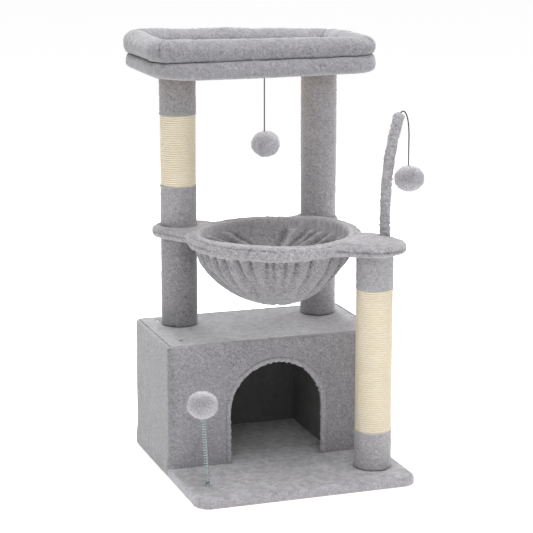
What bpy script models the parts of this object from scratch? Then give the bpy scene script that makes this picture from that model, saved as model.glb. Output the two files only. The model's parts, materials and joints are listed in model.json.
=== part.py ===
"""Cat tree: plush-covered base, condo with an arched doorway, three posts, a hammock,
a padded perch, two hanging pompoms and one pompom on a spring.

Origin: centre of the base's underside.  +X right, +Y towards the back, +Z up.  Metres.
"""

import math

import bmesh
import bpy
from mathutils import Matrix, Vector

# ---------------------------------------------------------------- driving dimensions
GAP = 0.0003                      # clearance between pieces that touch
PLUSH = 0.003                     # thickness of the plush skins
STEPS = 24                        # facets round a post

BASE_HALF = 0.240                 # half of the square base
BASE_TOP = 0.020
CORNER = 0.032                    # plan radius of the base and condo corners

CONDO_HALF = 0.238                # half of the condo's width
CONDO_FRONT = -0.030
CONDO_BACK = 0.238
CONDO_TOP = 0.284
WALL = 0.006                      # bent fibreboard wall
TOP_BOARD = 0.012
DOOR_HALF = 0.103                 # half of the clear doorway
DOOR_SPRING = 0.131               # height at which the doorway's round top begins
BINDING = 0.0027                  # binding thickness
BINDING_WIDTH = 0.0105            # binding's width on the front face
LEFT_PANEL_X = (-0.201, -0.189)
RIGHT_PANEL_X = (0.131, 0.143)

POST_RADIUS = 0.0385
TUBE_RADIUS = POST_RADIUS - PLUSH
TUBE_WALL = 0.005
PLUG_HEIGHT = 0.018
BOLT_RADIUS = 0.004
POSTS = {"left": (-0.155, 0.168), "right": (0.167, 0.170), "front": (0.1755, -0.1415)}
LEFT_SISAL = (0.590, 0.745)
FRONT_SISAL = (0.100, 0.408)

PLATE_LOW = 0.482                 # hammock plate with its plush
PLATE_HIGH = 0.502
RING_CENTRE = (0.011, 0.018)
RING_RADIUS = 0.185
RING_HOLE = 0.160
EAR_RADIUS = {"left": 0.056, "right": 0.043, "front": 0.063}
# Radii of the discs that an ear's two sides taper to: clockwise side, anticlockwise side.
EAR_NECK = {"left": (0.080, 0.128), "right": (0.082, 0.082), "front": (0.092, 0.092)}
BOWL_RADIUS = 0.166
BOWL_BOTTOM = 0.350
BOWL_SKIN = 0.004

PERCH_CENTRE = (0.008, 0.168)
PERCH_HALF = (0.255, 0.146)
PERCH_LOW = 0.829
PERCH_SEAM = 0.865                # between the board's cover and the bolster
PERCH_TOP = 0.911
PERCH_CORNER = 0.066
BOLSTER_WIDTH = 0.064
PERCH_BOARD = 0.015

STICK_FOOT = (0.209, -0.112)
STICK_PIVOT = 0.500
STICK_TOP = 0.764
STICK_LEAN = 0.0275               # how far the tip leans out
STICK_OUT = Vector((0.93, -0.367, 0)).normalized()
STICK_RADIUS = 0.0103
ROD_RADIUS = 0.004

CORD_RADIUS = 0.00125
CORD_JOINT = 0.0006               # half of the gap between two lengths of a cord
STICK_TOY = (0.252, -0.1308)
STICK_TOY_HEIGHTS = {"swing": 0.720, "sway": 0.688, "ball": 0.6303}
PERCH_TOY = (0.005, 0.065)
PERCH_TOY_HEIGHTS = {"swing": 0.8275, "sway": 0.790, "ball": 0.6860}
STICK_BALL = 0.0275
PERCH_BALL = 0.0290

SPRING_FOOT = Vector((-0.1938, -0.1523, BASE_TOP))
SPRING_HEAD = Vector((-0.2002, -0.1503, 0.1622))
SPRING_BALL_CENTRE = (-0.2022, -0.1496, 0.1930)
SPRING_BALL = 0.0300
SPRING_RADIUS = 0.0042            # coil radius to the wire's centre
SPRING_WIRE = 0.00070
SPRING_PITCH = 0.0056

# Route of the stiff start of the stick's cord, over the tip and down.
ARCH_ROUTE = [(0.2363, -0.1228, 0.7662), (0.2380, -0.1237, 0.7688), (0.2409, -0.1253, 0.7700),
              (0.2447, -0.1274, 0.7672), (0.2481, -0.1291, 0.7585), (0.2502, -0.1301, 0.7470),
              (0.2515, -0.1306, 0.7340), (0.2520, -0.1308, 0.7206)]

COLOURS = {
    "plush": ((0.38, 0.37, 0.39, 1), 0.95, 0.0),
    "sisal": ((0.72, 0.66, 0.52, 1), 0.90, 0.0),
    "board": ((0.62, 0.50, 0.34, 1), 0.80, 0.0),
    "card": ((0.48, 0.37, 0.24, 1), 0.90, 0.0),
    "steel": ((0.60, 0.60, 0.61, 1), 0.35, 1.0),
    "spring": ((0.42, 0.55, 0.53, 1), 0.40, 0.6),
    "cord": ((0.01, 0.01, 0.01, 1), 0.80, 0.0),
}


# ---------------------------------------------------------------- scene helpers
def clear_scene():
    for thing in list(bpy.data.objects):
        bpy.data.objects.remove(thing)


def new_collection(name):
    group = bpy.data.collections.new(name)
    bpy.context.scene.collection.children.link(group)
    return group


def principled(name, kind):
    colour, roughness, metallic = COLOURS[kind]
    material = bpy.data.materials.new(name)
    material.use_nodes = True
    shader = material.node_tree.nodes["Principled BSDF"]
    shader.inputs["Base Color"].default_value = colour
    shader.inputs["Roughness"].default_value = roughness
    shader.inputs["Metallic"].default_value = metallic
    material.diffuse_color = colour
    return material


def add_part(thing, kind):
    """Put a finished piece in the object's collection with its own material."""
    thing.data.materials.clear()
    thing.data.materials.append(principled(thing.name, kind))
    PARTS.objects.link(thing)
    return thing


def object_from(name, build):
    """New mesh object whose bmesh is filled in by build(bm)."""
    mesh = bpy.data.meshes.new(name)
    bm = bmesh.new()
    build(bm)
    bm.to_mesh(mesh)
    bm.free()
    return bpy.data.objects.new(name, mesh)


def boolean(thing, tool, operation="DIFFERENCE"):
    """Cut, join or clip a piece with a tool that stays in the cutters' collection."""
    if not tool.users_collection:
        CUTTERS.objects.link(tool)
    tool.hide_render = True
    tool.display_type = "WIRE"
    modifier = thing.modifiers.new(tool.name, "BOOLEAN")
    modifier.operation = operation
    modifier.solver = "EXACT"
    modifier.object = tool
    return thing


def curve_to_mesh(curve_object):
    """Turn a curve object into a welded mesh object of the same name."""
    name = curve_object.name
    bpy.context.scene.collection.objects.link(curve_object)
    graph = bpy.context.evaluated_depsgraph_get()
    mesh = bpy.data.meshes.new_from_object(curve_object.evaluated_get(graph))
    bm = bmesh.new()
    bm.from_mesh(mesh)
    bmesh.ops.remove_doubles(bm, verts=bm.verts, dist=0.00001)
    bmesh.ops.recalc_face_normals(bm, faces=bm.faces)
    bm.to_mesh(mesh)
    bm.free()
    bpy.data.objects.remove(curve_object)
    mesh.name = name
    return bpy.data.objects.new(name, mesh)


def add_spline(curve, points, closed):
    spline = curve.splines.new("POLY")
    spline.points.add(len(points) - 1)
    for spline_point, point in zip(spline.points, points):
        height = point[2] if len(point) > 2 else 0
        spline_point.co = (point[0], point[1], height, 1)
    spline.use_cyclic_u = closed


# ---------------------------------------------------------------- outlines
def rounded_outline(half_x, half_y, radius, centre=(0, 0), arc_steps=6):
    """Rectangle with rounded corners, anticlockwise."""
    points = []
    for quarter, (sign_x, sign_y) in enumerate([(1, 1), (-1, 1), (-1, -1), (1, -1)]):
        for step in range(arc_steps + 1):
            angle = math.pi / 2 * (quarter + step / arc_steps)
            x = sign_x * (half_x - radius) + radius * math.cos(angle)
            y = sign_y * (half_y - radius) + radius * math.sin(angle)
            points.append((centre[0] + x, centre[1] + y))
    return points


def circle_outline(radius, centre, steps):
    angles = [2 * math.pi * step / steps for step in range(steps)]
    return [(centre[0] + radius * math.cos(a), centre[1] + radius * math.sin(a)) for a in angles]


def condo_outline(inset):
    middle = (CONDO_FRONT + CONDO_BACK) / 2
    half_depth = (CONDO_BACK - CONDO_FRONT) / 2
    return rounded_outline(CONDO_HALF - inset, half_depth - inset, CORNER - inset, (0, middle))


def perch_outline(inset, corner_steps=6):
    return rounded_outline(PERCH_HALF[0] - inset, PERCH_HALF[1] - inset,
                           PERCH_CORNER - inset, PERCH_CENTRE, corner_steps)


def door_outline(growth, foot, arc_steps=14):
    """Doorway in X and Z: upright sides and a round top."""
    radius = DOOR_HALF + growth
    points = [(-radius, foot), (radius, foot)]
    for step in range(arc_steps + 1):
        angle = math.pi * step / arc_steps
        points.append((radius * math.cos(angle), DOOR_SPRING + radius * math.sin(angle)))
    return points


def ear_reach(angle, name):
    """Distance from the ring's centre to the edge of one tapered ear, in one direction."""
    offset = Vector(POSTS[name]) - Vector(RING_CENTRE)
    turn = math.remainder(angle - math.atan2(offset.y, offset.x), 2 * math.pi)
    ear_radius = EAR_RADIUS[name]
    neck = EAR_NECK[name][turn > 0]
    turn = abs(turn)
    lean = math.acos((neck - ear_radius) / offset.length)
    tangent_turn = math.atan2(ear_radius * math.sin(lean),
                              offset.length + ear_radius * math.cos(lean))
    if turn <= tangent_turn:
        side = offset.length * math.sin(turn)
        return offset.length * math.cos(turn) + math.sqrt(ear_radius ** 2 - side ** 2)
    if turn < lean:
        return neck / math.cos(turn - lean)
    return neck


def plate_outline(growth, steps=120):
    """Hammock plate: a round ring with an ear out to each post, blended together."""
    softness = 0.004
    points = []
    for step in range(steps):
        angle = 2 * math.pi * step / steps
        reaches = [RING_RADIUS]
        reaches += [ear_reach(angle, name) for name in POSTS]
        largest = max(reaches)
        total = sum(math.exp((reach - largest) / softness) for reach in reaches)
        reach = largest + softness * math.log(total) + growth
        points.append((RING_CENTRE[0] + reach * math.cos(angle),
                       RING_CENTRE[1] + reach * math.sin(angle)))
    return points


# ---------------------------------------------------------------- basic solids
def slab(name, outlines, low, high):
    """Flat solid between two heights; outlines after the first are holes."""
    curve = bpy.data.curves.new(name, "CURVE")
    curve.dimensions = "2D"
    curve.fill_mode = "BOTH"
    curve.extrude = (high - low) / 2
    for outline in outlines:
        add_spline(curve, outline, closed=True)
    solid = curve_to_mesh(bpy.data.objects.new(name, curve))
    solid.data.transform(Matrix.Translation((0, 0, (low + high) / 2)))
    return solid


def upright_slab(name, outlines, front, back):
    """Flat solid from outlines in X and Z, between two depths in Y."""
    solid = slab(name, outlines, -back, -front)
    solid.data.transform(Matrix.Rotation(math.pi / 2, 4, "X"))
    return solid


def box(name, low, high):
    def build(bm):
        bmesh.ops.create_cube(bm, size=1)
        size = [b - a for a, b in zip(low, high)]
        bmesh.ops.scale(bm, vec=size, verts=bm.verts)
        bmesh.ops.translate(bm, vec=[(a + b) / 2 for a, b in zip(low, high)], verts=bm.verts)
    return object_from(name, build)


def rod(name, centre, low, high, radius, sides=12):
    """Plain upright cylinder, used mostly as a drill."""
    def build(bm):
        place = Matrix.Translation((centre[0], centre[1], (low + high) / 2))
        bmesh.ops.create_cone(bm, cap_ends=True, segments=sides, radius1=radius, radius2=radius,
                              depth=high - low, matrix=place)
    return object_from(name, build)


def turned(name, profile, centre, steps=STEPS, closed=False):
    """Profile of (radius, height) points turned about an upright axis."""
    mesh = bpy.data.meshes.new(name)
    edges = [(i, i + 1) for i in range(len(profile) - 1)]
    if closed:
        edges.append((len(profile) - 1, 0))
    mesh.from_pydata([(radius, 0, height) for radius, height in profile], edges, [])
    solid = bpy.data.objects.new(name, mesh)
    solid.location = (centre[0], centre[1], 0)
    screw = solid.modifiers.new("turn", "SCREW")
    screw.steps = steps
    screw.render_steps = steps
    screw.use_merge_vertices = True
    screw.merge_threshold = 0.00001
    screw.use_smooth_shade = True
    return solid


def ring(name, centre, low, high, outer, inner, steps=STEPS):
    profile = [(outer, high), (outer, low), (inner, low), (inner, high)]
    return turned(name, profile, centre, steps, closed=True)


def ball(name, centre, radius):
    def build(bm):
        bmesh.ops.create_uvsphere(bm, u_segments=16, v_segments=10, radius=radius)
    sphere = object_from(name, build)
    sphere.location = centre
    return sphere


def smooth_route(route, count):
    """Points at even steps along a smooth curve through the route's own points."""
    points = [Vector(point) for point in route]
    padded = [2 * points[0] - points[1]] + points + [2 * points[-1] - points[-2]]
    fine = []
    for i in range(1, len(padded) - 2):
        p0, p1, p2, p3 = padded[i - 1:i + 3]
        for step in range(20):
            t = step / 20
            fine.append(0.5 * (2 * p1 + (p2 - p0) * t + (2 * p0 - 5 * p1 + 4 * p2 - p3) * t ** 2
                               + (3 * p1 - p0 - 3 * p2 + p3) * t ** 3))
    fine.append(points[-1])
    return [fine[round(i * (len(fine) - 1) / (count - 1))] for i in range(count)]


def tube(name, points, radius, resolution):
    """Round bar along a list of points, with closed ends."""
    curve = bpy.data.curves.new(name, "CURVE")
    curve.dimensions = "3D"
    curve.bevel_depth = radius
    curve.bevel_resolution = resolution
    curve.use_fill_caps = True
    add_spline(curve, points, closed=False)
    return bpy.data.objects.new(name, curve)


# ---------------------------------------------------------------- base
def make_base():
    front = POSTS["front"]
    side = PLUSH + GAP
    board = slab("base_board", [rounded_outline(BASE_HALF - side, BASE_HALF - side, CORNER - side)],
                 0, BASE_TOP - PLUSH - GAP)
    boolean(board, rod("base_bolt_drill", front, -0.01, 0.05, BOLT_RADIUS + GAP))
    boolean(board, rod("base_head_drill", front, -0.01, 0.0065, 0.0085, 16))
    boolean(board, rod("spring_screw_drill", SPRING_FOOT, 0.004, 0.05, 0.0018))
    add_part(board, "board")

    plush = slab("base_plush", [rounded_outline(BASE_HALF, BASE_HALF, CORNER)], 0.0008, BASE_TOP)
    hollow = slab("base_plush_hollow", [rounded_outline(BASE_HALF - PLUSH, BASE_HALF - PLUSH,
                                                        CORNER - PLUSH)], -0.01, BASE_TOP - PLUSH)
    boolean(plush, hollow)
    boolean(plush, bpy.data.objects["base_bolt_drill"])
    boolean(plush, bpy.data.objects["spring_screw_drill"])
    add_part(plush, "plush")


# ---------------------------------------------------------------- condo
def make_condo():
    board_top = CONDO_TOP - PLUSH - GAP
    board_low = board_top - TOP_BOARD
    wall_out = PLUSH + GAP
    wall_in = wall_out + WALL
    foot = BASE_TOP + GAP

    doorway = upright_slab("doorway_cutter", [door_outline(BINDING + GAP, BASE_TOP - 0.01)],
                           CONDO_FRONT - 0.02, CONDO_FRONT + 0.04)
    wall = slab("condo_wall", [condo_outline(wall_out), condo_outline(wall_in)], foot, board_low - GAP)
    add_part(boolean(wall, doorway), "board")

    for name, span in (("condo_left_panel", LEFT_PANEL_X), ("condo_right_panel", RIGHT_PANEL_X)):
        low = (span[0], CONDO_FRONT + wall_in + GAP, foot)
        high = (span[1], CONDO_BACK - wall_in - GAP, board_low - GAP)
        panel = box(name, low, high)
        if name == "condo_left_panel":
            for place in screw_places():
                tag = "screw_drill_%d" % round(place[1] * 1000)
                boolean(panel, rod(tag, place, 0.24, 0.30, 0.0021))
        add_part(panel, "board")

    top = slab("condo_top_board", [condo_outline(wall_out)], board_low, board_top)
    cover = slab("condo_cover", [condo_outline(0)], foot, CONDO_TOP)
    boolean(cover, slab("condo_cover_hollow", [condo_outline(PLUSH)], 0, CONDO_TOP - PLUSH))
    boolean(cover, doorway)
    for name in ("left", "right"):
        drill = rod(name + "_condo_drill", POSTS[name], 0.25, 0.30, BOLT_RADIUS + GAP)
        boolean(top, drill)
        boolean(cover, drill)
    for place in screw_places():
        tag = "%d" % round(place[1] * 1000)
        boolean(top, bpy.data.objects["screw_drill_" + tag])
        boolean(cover, rod("screw_dimple_" + tag, place, 0.28, 0.30, 0.0052))
    add_part(top, "board")
    add_part(cover, "plush")

    make_binding(foot, CONDO_FRONT + wall_in + 0.001)
    for name, place in zip(("condo_screw_front", "condo_screw_rear"), screw_places()):
        head = board_top + GAP
        profile = [(0, head + 0.0024), (0.0028, head + 0.0021), (0.0045, head + 0.0008),
                   (0.0045, head), (0.0018, head), (0.0018, head - 0.026), (0, head - 0.028)]
        add_part(turned(name, profile, place, 14), "steel")


def screw_places():
    middle = sum(LEFT_PANEL_X) / 2
    return [(middle, 0.024), (middle, 0.206)]


def make_binding(foot, inner_end):
    """Folded plush binding: a flange on the front face and a lining through the wall."""
    outer_face = CONDO_FRONT - BINDING
    flange = upright_slab("doorway_binding", [door_outline(BINDING_WIDTH, foot)],
                          outer_face, CONDO_FRONT - GAP)
    lining = upright_slab("binding_lining", [door_outline(BINDING, foot)],
                          outer_face + 0.0005, inner_end)
    clear = upright_slab("binding_clear", [door_outline(0, BASE_TOP - 0.01)],
                         CONDO_FRONT - 0.02, CONDO_FRONT + 0.04)
    boolean(flange, lining, "UNION")
    boolean(flange, clear)
    add_part(flange, "plush")


# ---------------------------------------------------------------- posts
def make_post(name, centre, low, high, sleeves):
    """Cardboard tube with a drilled plug in each end, inside plush and sisal sleeves."""
    inner = TUBE_RADIUS - TUBE_WALL
    add_part(ring(name + "_tube", centre, low, high, TUBE_RADIUS - GAP, inner), "card")
    plug_radius = inner - GAP
    hole = BOLT_RADIUS + GAP
    add_part(ring(name + "_bottom_plug", centre, low, low + PLUG_HEIGHT, plug_radius, hole), "board")
    add_part(ring(name + "_top_plug", centre, high - PLUG_HEIGHT, high, plug_radius, hole), "board")
    for sleeve, kind, start, end in sleeves:
        add_part(ring(sleeve, centre, start, end, POST_RADIUS, TUBE_RADIUS), kind)


def make_posts():
    low = CONDO_TOP + GAP
    plate_low = PLATE_LOW - GAP
    plate_high = PLATE_HIGH + GAP
    perch = PERCH_LOW + PLUSH - GAP
    for side in ("left", "right"):
        name = side + "_lower"
        make_post(name, POSTS[side], low, plate_low, [(name + "_plush", "plush", low, plate_low)])
    sisal_low, sisal_high = LEFT_SISAL
    make_post("left_upper", POSTS["left"], plate_high, perch,
              [("left_upper_plush_low", "plush", plate_high, sisal_low - GAP),
               ("left_upper_sisal", "sisal", sisal_low, sisal_high),
               ("left_upper_plush_high", "plush", sisal_high + GAP, perch)])
    make_post("right_upper", POSTS["right"], plate_high, perch,
              [("right_upper_plush", "plush", plate_high, perch)])
    sisal_low, sisal_high = FRONT_SISAL
    foot = BASE_TOP + GAP
    make_post("front_post", POSTS["front"], foot, plate_low,
              [("front_plush_low", "plush", foot, sisal_low - GAP),
               ("front_sisal", "sisal", sisal_low, sisal_high),
               ("front_plush_high", "plush", sisal_high + GAP, plate_low)])


def make_bolt(name, centre, head_face, seat, tip):
    """Flanged bolt with a hex socket; it points from head_face through seat to tip."""
    way = 1 if tip > head_face else -1
    head = 0.0075
    profile = [(0, head_face), (head, head_face), (head, seat), (BOLT_RADIUS, seat),
               (BOLT_RADIUS, tip - way * 0.001), (BOLT_RADIUS - 0.001, tip), (0, tip)]
    if way > 0:
        profile.reverse()
    bolt = turned(name, profile, centre, 12)
    low, high = sorted((head_face - way * 0.002, head_face + way * 0.0028))
    boolean(bolt, rod(name + "_socket", centre, low, high, 0.0032, 6))
    add_part(bolt, "steel")


def make_fasteners():
    reach = PLUG_HEIGHT - 0.0015
    board_low = CONDO_TOP - PLUSH - GAP - TOP_BOARD
    for side in ("left", "right"):
        make_bolt(side + "_condo_bolt", POSTS[side], board_low - GAP - 0.0045, board_low - GAP,
                  CONDO_TOP + reach)
        stud = [(0, PLATE_HIGH + reach), (BOLT_RADIUS, PLATE_HIGH + reach),
                (BOLT_RADIUS, PLATE_LOW - reach), (0, PLATE_LOW - reach)]
        add_part(turned(side + "_joint_stud", stud, POSTS[side], 12), "steel")
        make_bolt(side + "_perch_bolt", POSTS[side], perch_board_top() - GAP, perch_board_top() - 0.0047,
                  PERCH_LOW + PLUSH - reach)
    make_bolt("front_base_bolt", POSTS["front"], 0.0012, 0.0062, BASE_TOP + reach)
    plate_board_top = PLATE_HIGH - PLUSH - GAP
    make_bolt("front_plate_bolt", POSTS["front"], plate_board_top - GAP, plate_board_top - 0.0047,
              PLATE_LOW - reach)


# ---------------------------------------------------------------- hammock
def make_hammock():
    low = PLATE_LOW + PLUSH + GAP
    high = PLATE_HIGH - PLUSH - GAP
    edge = PLUSH + GAP
    hole = circle_outline(RING_HOLE + edge, RING_CENTRE, 36)
    board = slab("hammock_board", [plate_outline(-edge), hole], low, high)
    cover = slab("hammock_plush", [plate_outline(0), circle_outline(RING_HOLE, RING_CENTRE, 36)],
                 PLATE_LOW, PLATE_HIGH)
    slit = circle_outline(RING_HOLE - 0.01, RING_CENTRE, 36)
    boolean(cover, slab("hammock_plush_hollow", [plate_outline(-PLUSH), slit], low - GAP, high + GAP))
    for side in ("left", "right"):
        drill = rod(side + "_stud_drill", POSTS[side], 0.47, 0.51, BOLT_RADIUS + GAP)
        boolean(board, drill)
        boolean(cover, drill)
    bolt_drill = rod("plate_bolt_drill", POSTS["front"], 0.47, high + 0.001, BOLT_RADIUS + GAP)
    boolean(board, bolt_drill)
    boolean(cover, bolt_drill)
    boolean(board, rod("plate_head_drill", POSTS["front"], high - 0.005, high + 0.01, 0.0085, 16))
    stick_drill = rod("stick_drill", STICK_FOOT, low + 0.002, 0.51, 0.0062)
    boolean(board, stick_drill)
    boolean(cover, stick_drill)
    add_part(board, "board")
    add_part(cover, "plush")

    rim = PLATE_LOW - GAP
    depth = rim - BOWL_BOTTOM
    falls = [math.sin(math.pi / 2 * step / 9) ** 1.2 for step in range(10)]
    outside = [(BOWL_RADIUS * (1 - fall ** 1.53) ** 0.48, rim - depth * fall) for fall in falls]
    scale = (BOWL_RADIUS - BOWL_SKIN) / BOWL_RADIUS
    inside = [(r * scale, rim - (rim - z) * (depth - BOWL_SKIN) / depth) for r, z in outside]
    add_part(turned("hammock_bowl", outside + inside[::-1], RING_CENTRE, 28, closed=True), "plush")


# ---------------------------------------------------------------- perch
def perch_board_top():
    return PERCH_LOW + PLUSH + GAP + PERCH_BOARD


def make_perch():
    board_inset = 0.022
    board_low = PERCH_LOW + PLUSH
    board = slab("perch_board", [perch_outline(board_inset)], board_low, perch_board_top())
    for side in ("left", "right"):
        boolean(board, rod(side + "_perch_drill", POSTS[side], 0.82, 0.86, BOLT_RADIUS + GAP))
        boolean(board, rod(side + "_perch_head_drill", POSTS[side], perch_board_top() - 0.005, 0.86,
                           0.0085, 16))
    add_part(board, "board")

    cover = slab("perch_cover", [perch_outline(0.005)], PERCH_LOW, PERCH_SEAM - GAP)
    bevel = cover.modifiers.new("soft_edge", "BEVEL")
    bevel.width = 0.012
    bevel.segments = 3
    bevel.angle_limit = math.radians(60)
    boolean(cover, slab("perch_board_room", [perch_outline(board_inset - GAP)], board_low - GAP,
                        perch_board_top() + GAP))
    boolean(cover, slab("perch_window", [perch_outline(board_inset + 0.027)], PERCH_LOW - 0.01,
                        board_low + 0.001))
    add_part(cover, "plush")

    half_height = (PERCH_TOP - PERCH_SEAM) / 2
    add_part(bolster("perch_bolster", BOLSTER_WIDTH / 2, half_height), "plush")


def bolster(name, half_width, half_height):
    """Padded roll along the perch's edge: an oval section carried round the outline."""
    section = bpy.data.curves.new("bolster_section", "CURVE")
    section.dimensions = "2D"
    add_spline(section, [(x * half_width, y * half_height)
                         for x, y in circle_outline(1, (0, 0), 14)], closed=True)
    guide = bpy.data.objects.new("bolster_section", section)
    CUTTERS.objects.link(guide)
    guide.hide_render = True
    path = bpy.data.curves.new(name, "CURVE")
    path.dimensions = "2D"
    path.fill_mode = "NONE"
    path.bevel_mode = "OBJECT"
    path.bevel_object = guide
    add_spline(path, perch_outline(half_width, 7), closed=True)
    roll = curve_to_mesh(bpy.data.objects.new(name, path))
    roll.data.transform(Matrix.Translation((0, 0, PERCH_SEAM + half_height)))
    return roll


# ---------------------------------------------------------------- toys
def stick_point(height):
    """Centre of the teaser stick at a height: upright at the foot, leaning out at the tip."""
    rise = max(0.0, (height - 0.53) / (STICK_TOP - 0.53))
    return Vector((STICK_FOOT[0], STICK_FOOT[1], height)) + STICK_LEAN * rise ** 2.5 * STICK_OUT


def make_stick():
    low = STICK_PIVOT - 0.0105
    core = [stick_point(low + (STICK_TOP - 0.012 - low) * step / 10) for step in range(11)]
    add_part(tube("stick_rod", core, ROD_RADIUS, 2), "board")
    foot = PLATE_HIGH + 0.0022
    skin = [stick_point(foot + (STICK_TOP - foot) * step / 11) for step in range(12)]
    sleeve = curve_to_mesh(tube("stick_sleeve", skin, STICK_RADIUS, 3))
    room = [stick_point(foot - 0.01 + (STICK_TOP - 0.010 - foot + 0.01) * step / 10) for step in range(11)]
    boolean(sleeve, curve_to_mesh(tube("stick_room", room, ROD_RADIUS + 0.0004, 3)))
    add_part(sleeve, "plush")


def hanging_cord(name, place, top, bottom):
    count = max(4, round((top - bottom) / 0.006))
    points = [(place[0], place[1], top + (bottom - top) * i / (count - 1)) for i in range(count)]
    add_part(tube(name, points, CORD_RADIUS, 2), "cord")


def make_hanging_toy(name, place, heights, radius):
    sway = heights["sway"]
    hanging_cord(name + "_cord_upper", place, heights["swing"] - CORD_JOINT, sway + CORD_JOINT)
    hanging_cord(name + "_cord_lower", place, sway - CORD_JOINT, heights["ball"] + radius + GAP)
    add_part(ball(name + "_pompom", (place[0], place[1], heights["ball"]), radius), "plush")


def make_spring_toy():
    axis = SPRING_HEAD - SPRING_FOOT
    lean = axis.to_track_quat("Z", "X")
    tight_turns, tight_pitch = 2, 0.00165
    coil = []
    height, angle, sides = 0.0, 0.0, 8
    while height < axis.length - 0.001:
        coil.append((SPRING_RADIUS * math.cos(angle), SPRING_RADIUS * math.sin(angle), height + 0.001))
        angle += 2 * math.pi / sides
        tight = angle < 2 * math.pi * tight_turns
        height += (tight_pitch if tight else SPRING_PITCH) / sides
    points = [SPRING_FOOT + lean @ Vector(point) for point in coil]
    add_part(tube("spring", points, SPRING_WIRE, 0), "spring")
    profile = [(0, 0.0305), (0.0030, 0.0300), (0.0030, BASE_TOP + GAP), (0.0015, BASE_TOP + GAP),
               (0.0015, 0.0070), (0, 0.0060)]
    add_part(turned("spring_anchor", profile, SPRING_FOOT, 12), "steel")
    add_part(ball("spring_pompom", SPRING_BALL_CENTRE, SPRING_BALL), "plush")


def make_toys():
    make_stick()
    add_part(tube("stick_cord_arch", smooth_route(ARCH_ROUTE, 14), CORD_RADIUS, 2), "cord")
    make_hanging_toy("stick", STICK_TOY, STICK_TOY_HEIGHTS, STICK_BALL)
    make_hanging_toy("perch", PERCH_TOY, PERCH_TOY_HEIGHTS, PERCH_BALL)
    make_spring_toy()


clear_scene()
PARTS = new_collection("cat_tree")
CUTTERS = new_collection("cutters")
make_base()
make_condo()
make_posts()
make_fasteners()
make_hammock()
make_perch()
make_toys()
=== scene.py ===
import itertools
import json
from math import acos, atan2, cos, dist, exp, hypot, log, pi, radians, remainder, sin, sqrt

import bmesh
import bpy
import numpy as np
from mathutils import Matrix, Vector


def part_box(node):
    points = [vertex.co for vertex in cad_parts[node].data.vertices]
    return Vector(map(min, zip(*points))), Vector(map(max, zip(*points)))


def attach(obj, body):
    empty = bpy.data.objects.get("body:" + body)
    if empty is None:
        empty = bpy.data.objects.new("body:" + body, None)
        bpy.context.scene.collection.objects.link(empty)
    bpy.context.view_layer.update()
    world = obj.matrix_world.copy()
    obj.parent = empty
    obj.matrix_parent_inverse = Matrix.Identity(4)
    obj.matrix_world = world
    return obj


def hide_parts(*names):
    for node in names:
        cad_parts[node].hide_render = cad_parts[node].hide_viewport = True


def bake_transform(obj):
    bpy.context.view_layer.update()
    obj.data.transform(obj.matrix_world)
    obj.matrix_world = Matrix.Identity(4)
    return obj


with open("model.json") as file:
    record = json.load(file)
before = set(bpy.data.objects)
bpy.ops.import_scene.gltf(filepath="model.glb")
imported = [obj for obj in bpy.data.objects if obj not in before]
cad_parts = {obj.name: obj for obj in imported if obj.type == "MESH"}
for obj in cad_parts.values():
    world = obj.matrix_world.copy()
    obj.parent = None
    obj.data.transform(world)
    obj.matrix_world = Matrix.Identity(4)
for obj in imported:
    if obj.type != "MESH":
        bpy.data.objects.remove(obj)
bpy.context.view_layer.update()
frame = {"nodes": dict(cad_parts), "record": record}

TAU = 2 * pi
UP = np.array((0.0, 0.0, 1.0))
STEP = 0.0024                 # spacing of the plush meshes' points, in metres
POSTS = {"left": (-0.155, 0.168), "right": (0.167, 0.170), "front": (0.1755, -0.1415)}
POST_RADIUS = 0.0385
BASE_HALVES, BASE_CORNER, BASE_EDGE, BASE_TOP = (0.240, 0.240), 0.032, 0.0085, 0.0200


# ------------------------------------------------------------ camera and light
CAMERA_PLACE = (-1.28128, -3.65093, 1.30412)
CAMERA_TILT, CAMERA_TURN = 0.221037, -0.334403
LAMPS = (("key", (-0.7, -2.9, 2.9), 0.45, 1.8, 24.0),
         ("back", (0.3, 3.2, 2.0), 0.30, 2.6, 90.0),
         ("back_right", (2.6, 1.6, 1.6), 0.30, 2.0, 26.0),
         ("top", (0.1, -0.5, 3.2), 0.30, 2.2, 64.0))
WORLD_LIGHT = 0.50
FLOOR_HALF, FLOOR_DROP = 40.0, 0.0004


def link(thing):
    """Puts an object in the scene, and gives it back."""
    bpy.context.scene.collection.objects.link(thing)
    return thing


def make_camera():
    camera = link(bpy.data.objects.new("camera", bpy.data.cameras.new("camera")))
    camera.location = CAMERA_PLACE
    camera.rotation_euler = (pi / 2 - CAMERA_TILT, 0.0, CAMERA_TURN)
    camera.data.sensor_width = 36.0
    camera.data.lens = 126.89
    camera.data.clip_start = 0.1
    camera.data.clip_end = 100.0
    bpy.context.scene.camera = camera


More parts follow.
